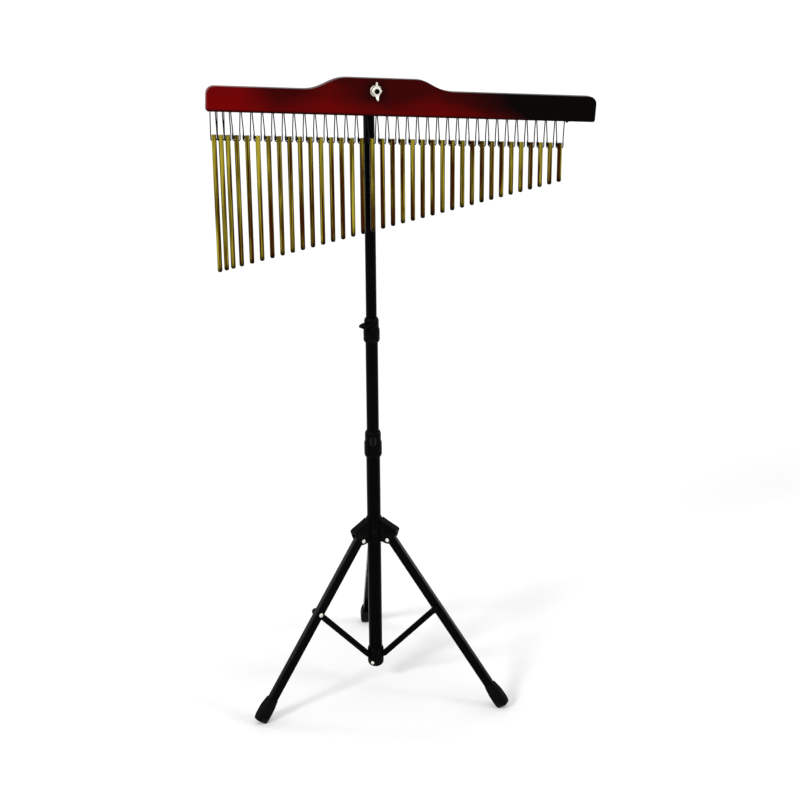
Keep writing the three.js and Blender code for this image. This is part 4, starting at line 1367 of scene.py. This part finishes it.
class BARCHIMES_OT_brace_hub(Operator):
    """Makes the cap on the foot of the mast, with its lugs, rivets and screw"""

    bl_idname = "bar_chimes.brace_hub"
    bl_label = "Brace hub"

    def execute(self, context):
        top, bottom, outer, floor = 76, 37, 15, 43.2
        bore = stand.lower_tube / 2 + FIT
        hub = eased_on_lathe([
            (0, bottom), (outer - 5, bottom), (outer - 1, bottom + 4), (outer, bottom + 8),
            (outer, top - 4), (outer - 1.6, top), (0, top),
        ], 1.4)
        x, z = BRACE_PIVOT.xz
        lug = slab([
            (bore + 0.6, z - 12.4), (x, z - 5.4), *arc((x, z), 5.4, -90, 90, 12), (bore + 0.6, z + 5.4),
        ], 5, 0.5, 3)
        relief = block((x - 6.4, -4.5, z - 11), (x + 11, 4.5, top + 1))
        for azimuth in LEG_AZIMUTHS:
            hub = hub - relief.turned(azimuth)
        azimuth, height, face = 237, 48, 16.5
        hub = hub + outwards(rod(5.6, 1, face, 40, 0.8), azimuth, height)
        hub = hub - rod(bore, floor, top + 1, 64)
        for turn in LEG_AZIMUTHS:
            hub = hub + lug.turned(turn)
        fitted(hub, "brace_hub_moulded", "base", black_plastic, ["brace_hub"])
        rivets = riveted_pins(x, z, 4.7, 4.3, rivet_head(6.4, 1.2))
        fitted(rivets, "brace_hub_rivets", "base", black_paint)
        screw = outwards(rivet_head(6.5, 1.6), azimuth, height, face)
        fitted(screw, "brace_hub_screw", "base", bright_steel)
        return {"FINISHED"}


# Rings of a rubber foot, as rows of (depth, width, centre, height above the sole, corner)
BOOT_RINGS = (
    (18, 15, 0, 0, 4.2), (20, 16.4, 0.1, 0.5, 4.6), (21.6, 17.6, 0.3, 1.5, 4.8),
    (23, 18.6, 0.45, 3.5, 5), (24.5, 19.5, 0.6, 9, 5.2), (24.7, 19.7, 0.6, 18, 5.2),
    (24.4, 19.4, 0.6, 27, 5.2), (23.4, 18.7, 0.45, 32, 5), (21.6, 17.4, 0.2, 38, 4.6),
    (20.2, 16.2, 0, 43, 4.2), (19.9, 15.9, 0, 45.2, 4), (19.2, 15.2, 0, 46, 3.8),
)


def boot():
    """A rubber foot: it swells below its mouth and ends in a narrower, rounded sole."""
    end, x, y = -stand.leg_length, stand.leg_depth / 2 + FIT, stand.leg_width / 2 + FIT
    rings = []
    for deep, wide, centre, up, corner in BOOT_RINGS:
        ring = rounded_rectangle(deep, wide, corner)
        rings.append([(p.x + LEG_INSET + centre, p.y, end + up) for p in ring])
    mouth = end + BOOT_RINGS[-1][3]
    room = block((LEG_INSET - x, -y, end + HEEL - SEAT), (LEG_INSET + x, y, mouth + 1))
    floor = block((-400, -60, -400), (400, 60, 0)).placed(leg_frame(0).inverted())
    return lofted(rings) - room - floor


class BARCHIMES_OT_feet(Operator):
    """Moulds the three rubber feet and pushes them on the legs"""

    bl_idname = "bar_chimes.feet"
    bl_label = "Feet"

    def execute(self, context):
        fitted_on_legs("leg_body", leg_frame, (boot(), "rubber_boot", foot_rubber, "foot"))
        return {"FINISHED"}


# Stage


def studio_floor():
    """A wide pale floor, just below the soles."""
    floor = bmesh.new()
    bmesh.ops.create_grid(floor, x_segments=8, y_segments=8, size=60)
    mesh = settled(floor, bpy.data.meshes.new("studio_floor"))
    pale = Finish("pale_floor", None)
    pale.laid_on(Base_Color=(0.98, 0.98, 0.98), Roughness=0.9, Specular_IOR_Level=0.1)
    mesh.materials.append(pale.material)
    ground = linked("studio_floor", mesh)
    ground.location.z = -0.0002


def studio_world():
    """A white room that the camera and bright metal see, and that lights the rest softly."""
    world = bpy.data.worlds.new("white_studio")
    bpy.context.scene.world = world
    world.use_nodes = True
    nodes = Nodes(world.node_tree)
    sky = world.node_tree.nodes["Background"].inputs
    ray = nodes.add("ShaderNodeLightPath").socket.node
    camera, glossy, clear = (
        Mark(nodes, ray.outputs[f"Is {name} Ray"]) for name in ("Camera", "Glossy", "Transmission")
    )
    ambient = 0.75
    nodes.fill(sky["Color"], (1, 1, 1))
    seen = camera.larger(glossy).larger(clear)
    nodes.fill(sky["Strength"], ambient + seen * (1 - ambient))


# Soft lamps far off, as rows of (name, strength, softness, azimuth, elevation), angles in degrees
LAMPS = (
    ("key_lamp", 1.2, 12, 213, 33), ("fill_lamp", 0.5, 12, 332, 28),
    ("left_rim_lamp", 0.35, 10, 147, 20), ("right_rim_lamp", 0.2, 8, 25, 10),
)


def studio_lamps():
    """Turns every lamp towards the mast."""
    for name, strength, *angles in LAMPS:
        softness, azimuth, elevation = map(radians, angles)
        lamp = bpy.data.lights.new(name, "SUN")
        lamp.energy, lamp.angle = strength, softness
        level, rise = cos(elevation), sin(elevation)
        towards = Vector((cos(azimuth) * level, sin(azimuth) * level, rise))
        holder = linked(name, lamp)
        holder.rotation_euler = towards.to_track_quat("Z", "Y").to_euler()
        holder.location = MAST + towards * 3


# The camera stands a little to the left, above the middle of the mast, and looks down; it was
# found in metres from the mast's foot, in degrees, and in pixels of a picture of this width
CAMERA_PLACE = (-0.51445, -2.38915, 1.37988)
CAMERA_YAW_PITCH_ROLL = (13.29964, 18.48657, -0.38791)
FOCAL_PIXELS, PICTURE_WIDTH, SENSOR_WIDTH = 1449.93, 800, 36


def photographers_camera():
    yaw, pitch, roll = map(radians, CAMERA_YAW_PITCH_ROLL)
    level = cos(pitch)
    ahead = Vector((sin(yaw) * level, cos(yaw) * level, -sin(pitch)))
    right = Vector((cos(yaw), -sin(yaw), 0))
    up = right.cross(ahead)
    across = right * cos(roll) + up * sin(roll)
    upright = up * cos(roll) - right * sin(roll)
    lens = bpy.data.cameras.new("camera")
    lens.sensor_fit = "HORIZONTAL"
    lens.sensor_width = SENSOR_WIDTH
    lens.lens = SENSOR_WIDTH * FOCAL_PIXELS / PICTURE_WIDTH
    lens.clip_end = 200
    camera = linked("camera", lens)
    turn = Matrix((across, upright, -ahead)).transposed().to_4x4()
    camera.matrix_world = Matrix.Translation(MAST + Vector(CAMERA_PLACE)) @ turn
    bpy.context.scene.camera = camera


class BARCHIMES_OT_studio(Operator):
    """Sets up the pale floor, the white room, four soft lamps and the camera"""

    bl_idname = "bar_chimes.studio"
    bl_label = "Studio"

    def execute(self, context):
        studio_floor()
        studio_world()
        studio_lamps()
        photographers_camera()
        context.scene.view_settings.view_transform = "Standard"
        return {"FINISHED"}


OPERATORS = (
    BARCHIMES_OT_studio,
    BARCHIMES_OT_lacing_cord,
    BARCHIMES_OT_chimes,
    BARCHIMES_OT_wooden_bar,
    BARCHIMES_OT_wing_nut,
    BARCHIMES_OT_head_bracket,
    BARCHIMES_OT_mast_tubes,
    BARCHIMES_OT_tube_clutches,
    BARCHIMES_OT_leg_hub,
    BARCHIMES_OT_brace_hub,
    BARCHIMES_OT_legs,
    BARCHIMES_OT_braces,
    BARCHIMES_OT_feet,
)


class BARCHIMES_PT_panel(Panel):
    """Lists the sizes, the colours and the pieces."""

    bl_idname = "BARCHIMES_PT_panel"
    bl_label = "Bar chimes"
    bl_space_type = "VIEW_3D"
    bl_region_type = "UI"
    bl_category = "Bar chimes"


    def draw(self, context):
        chosen = settings()
        for title in ("Bar", "Chimes", "Stand", "Colours"):
            group = getattr(chosen, title.lower())
            box = self.layout.box()
            box.label(text=title)
            for name in group.__annotations__:
                box.prop(group, name)
        for operator in OPERATORS:
            self.layout.operator(operator.bl_idname)


CLASSES = (
    BarSizes, ChimeSizes, StandSizes, FinishColours, BarChimes, *OPERATORS, BARCHIMES_PT_panel,
)


def register():
    for cls in CLASSES:
        bpy.utils.register_class(cls)
    bpy.types.Scene.bar_chimes = PointerProperty(type=BarChimes)


def unregister():
    del bpy.types.Scene.bar_chimes
    for cls in reversed(CLASSES):
        bpy.utils.unregister_class(cls)


def main():
    register()
    for operator in OPERATORS:
        group, name = operator.bl_idname.split(".")
        getattr(getattr(bpy.ops, group), name)()
    for mesh in [mesh for mesh in bpy.data.meshes if not mesh.users]:
        bpy.data.meshes.remove(mesh)
    bpy.context.view_layer.update()


if __name__ == "__main__":
    main()
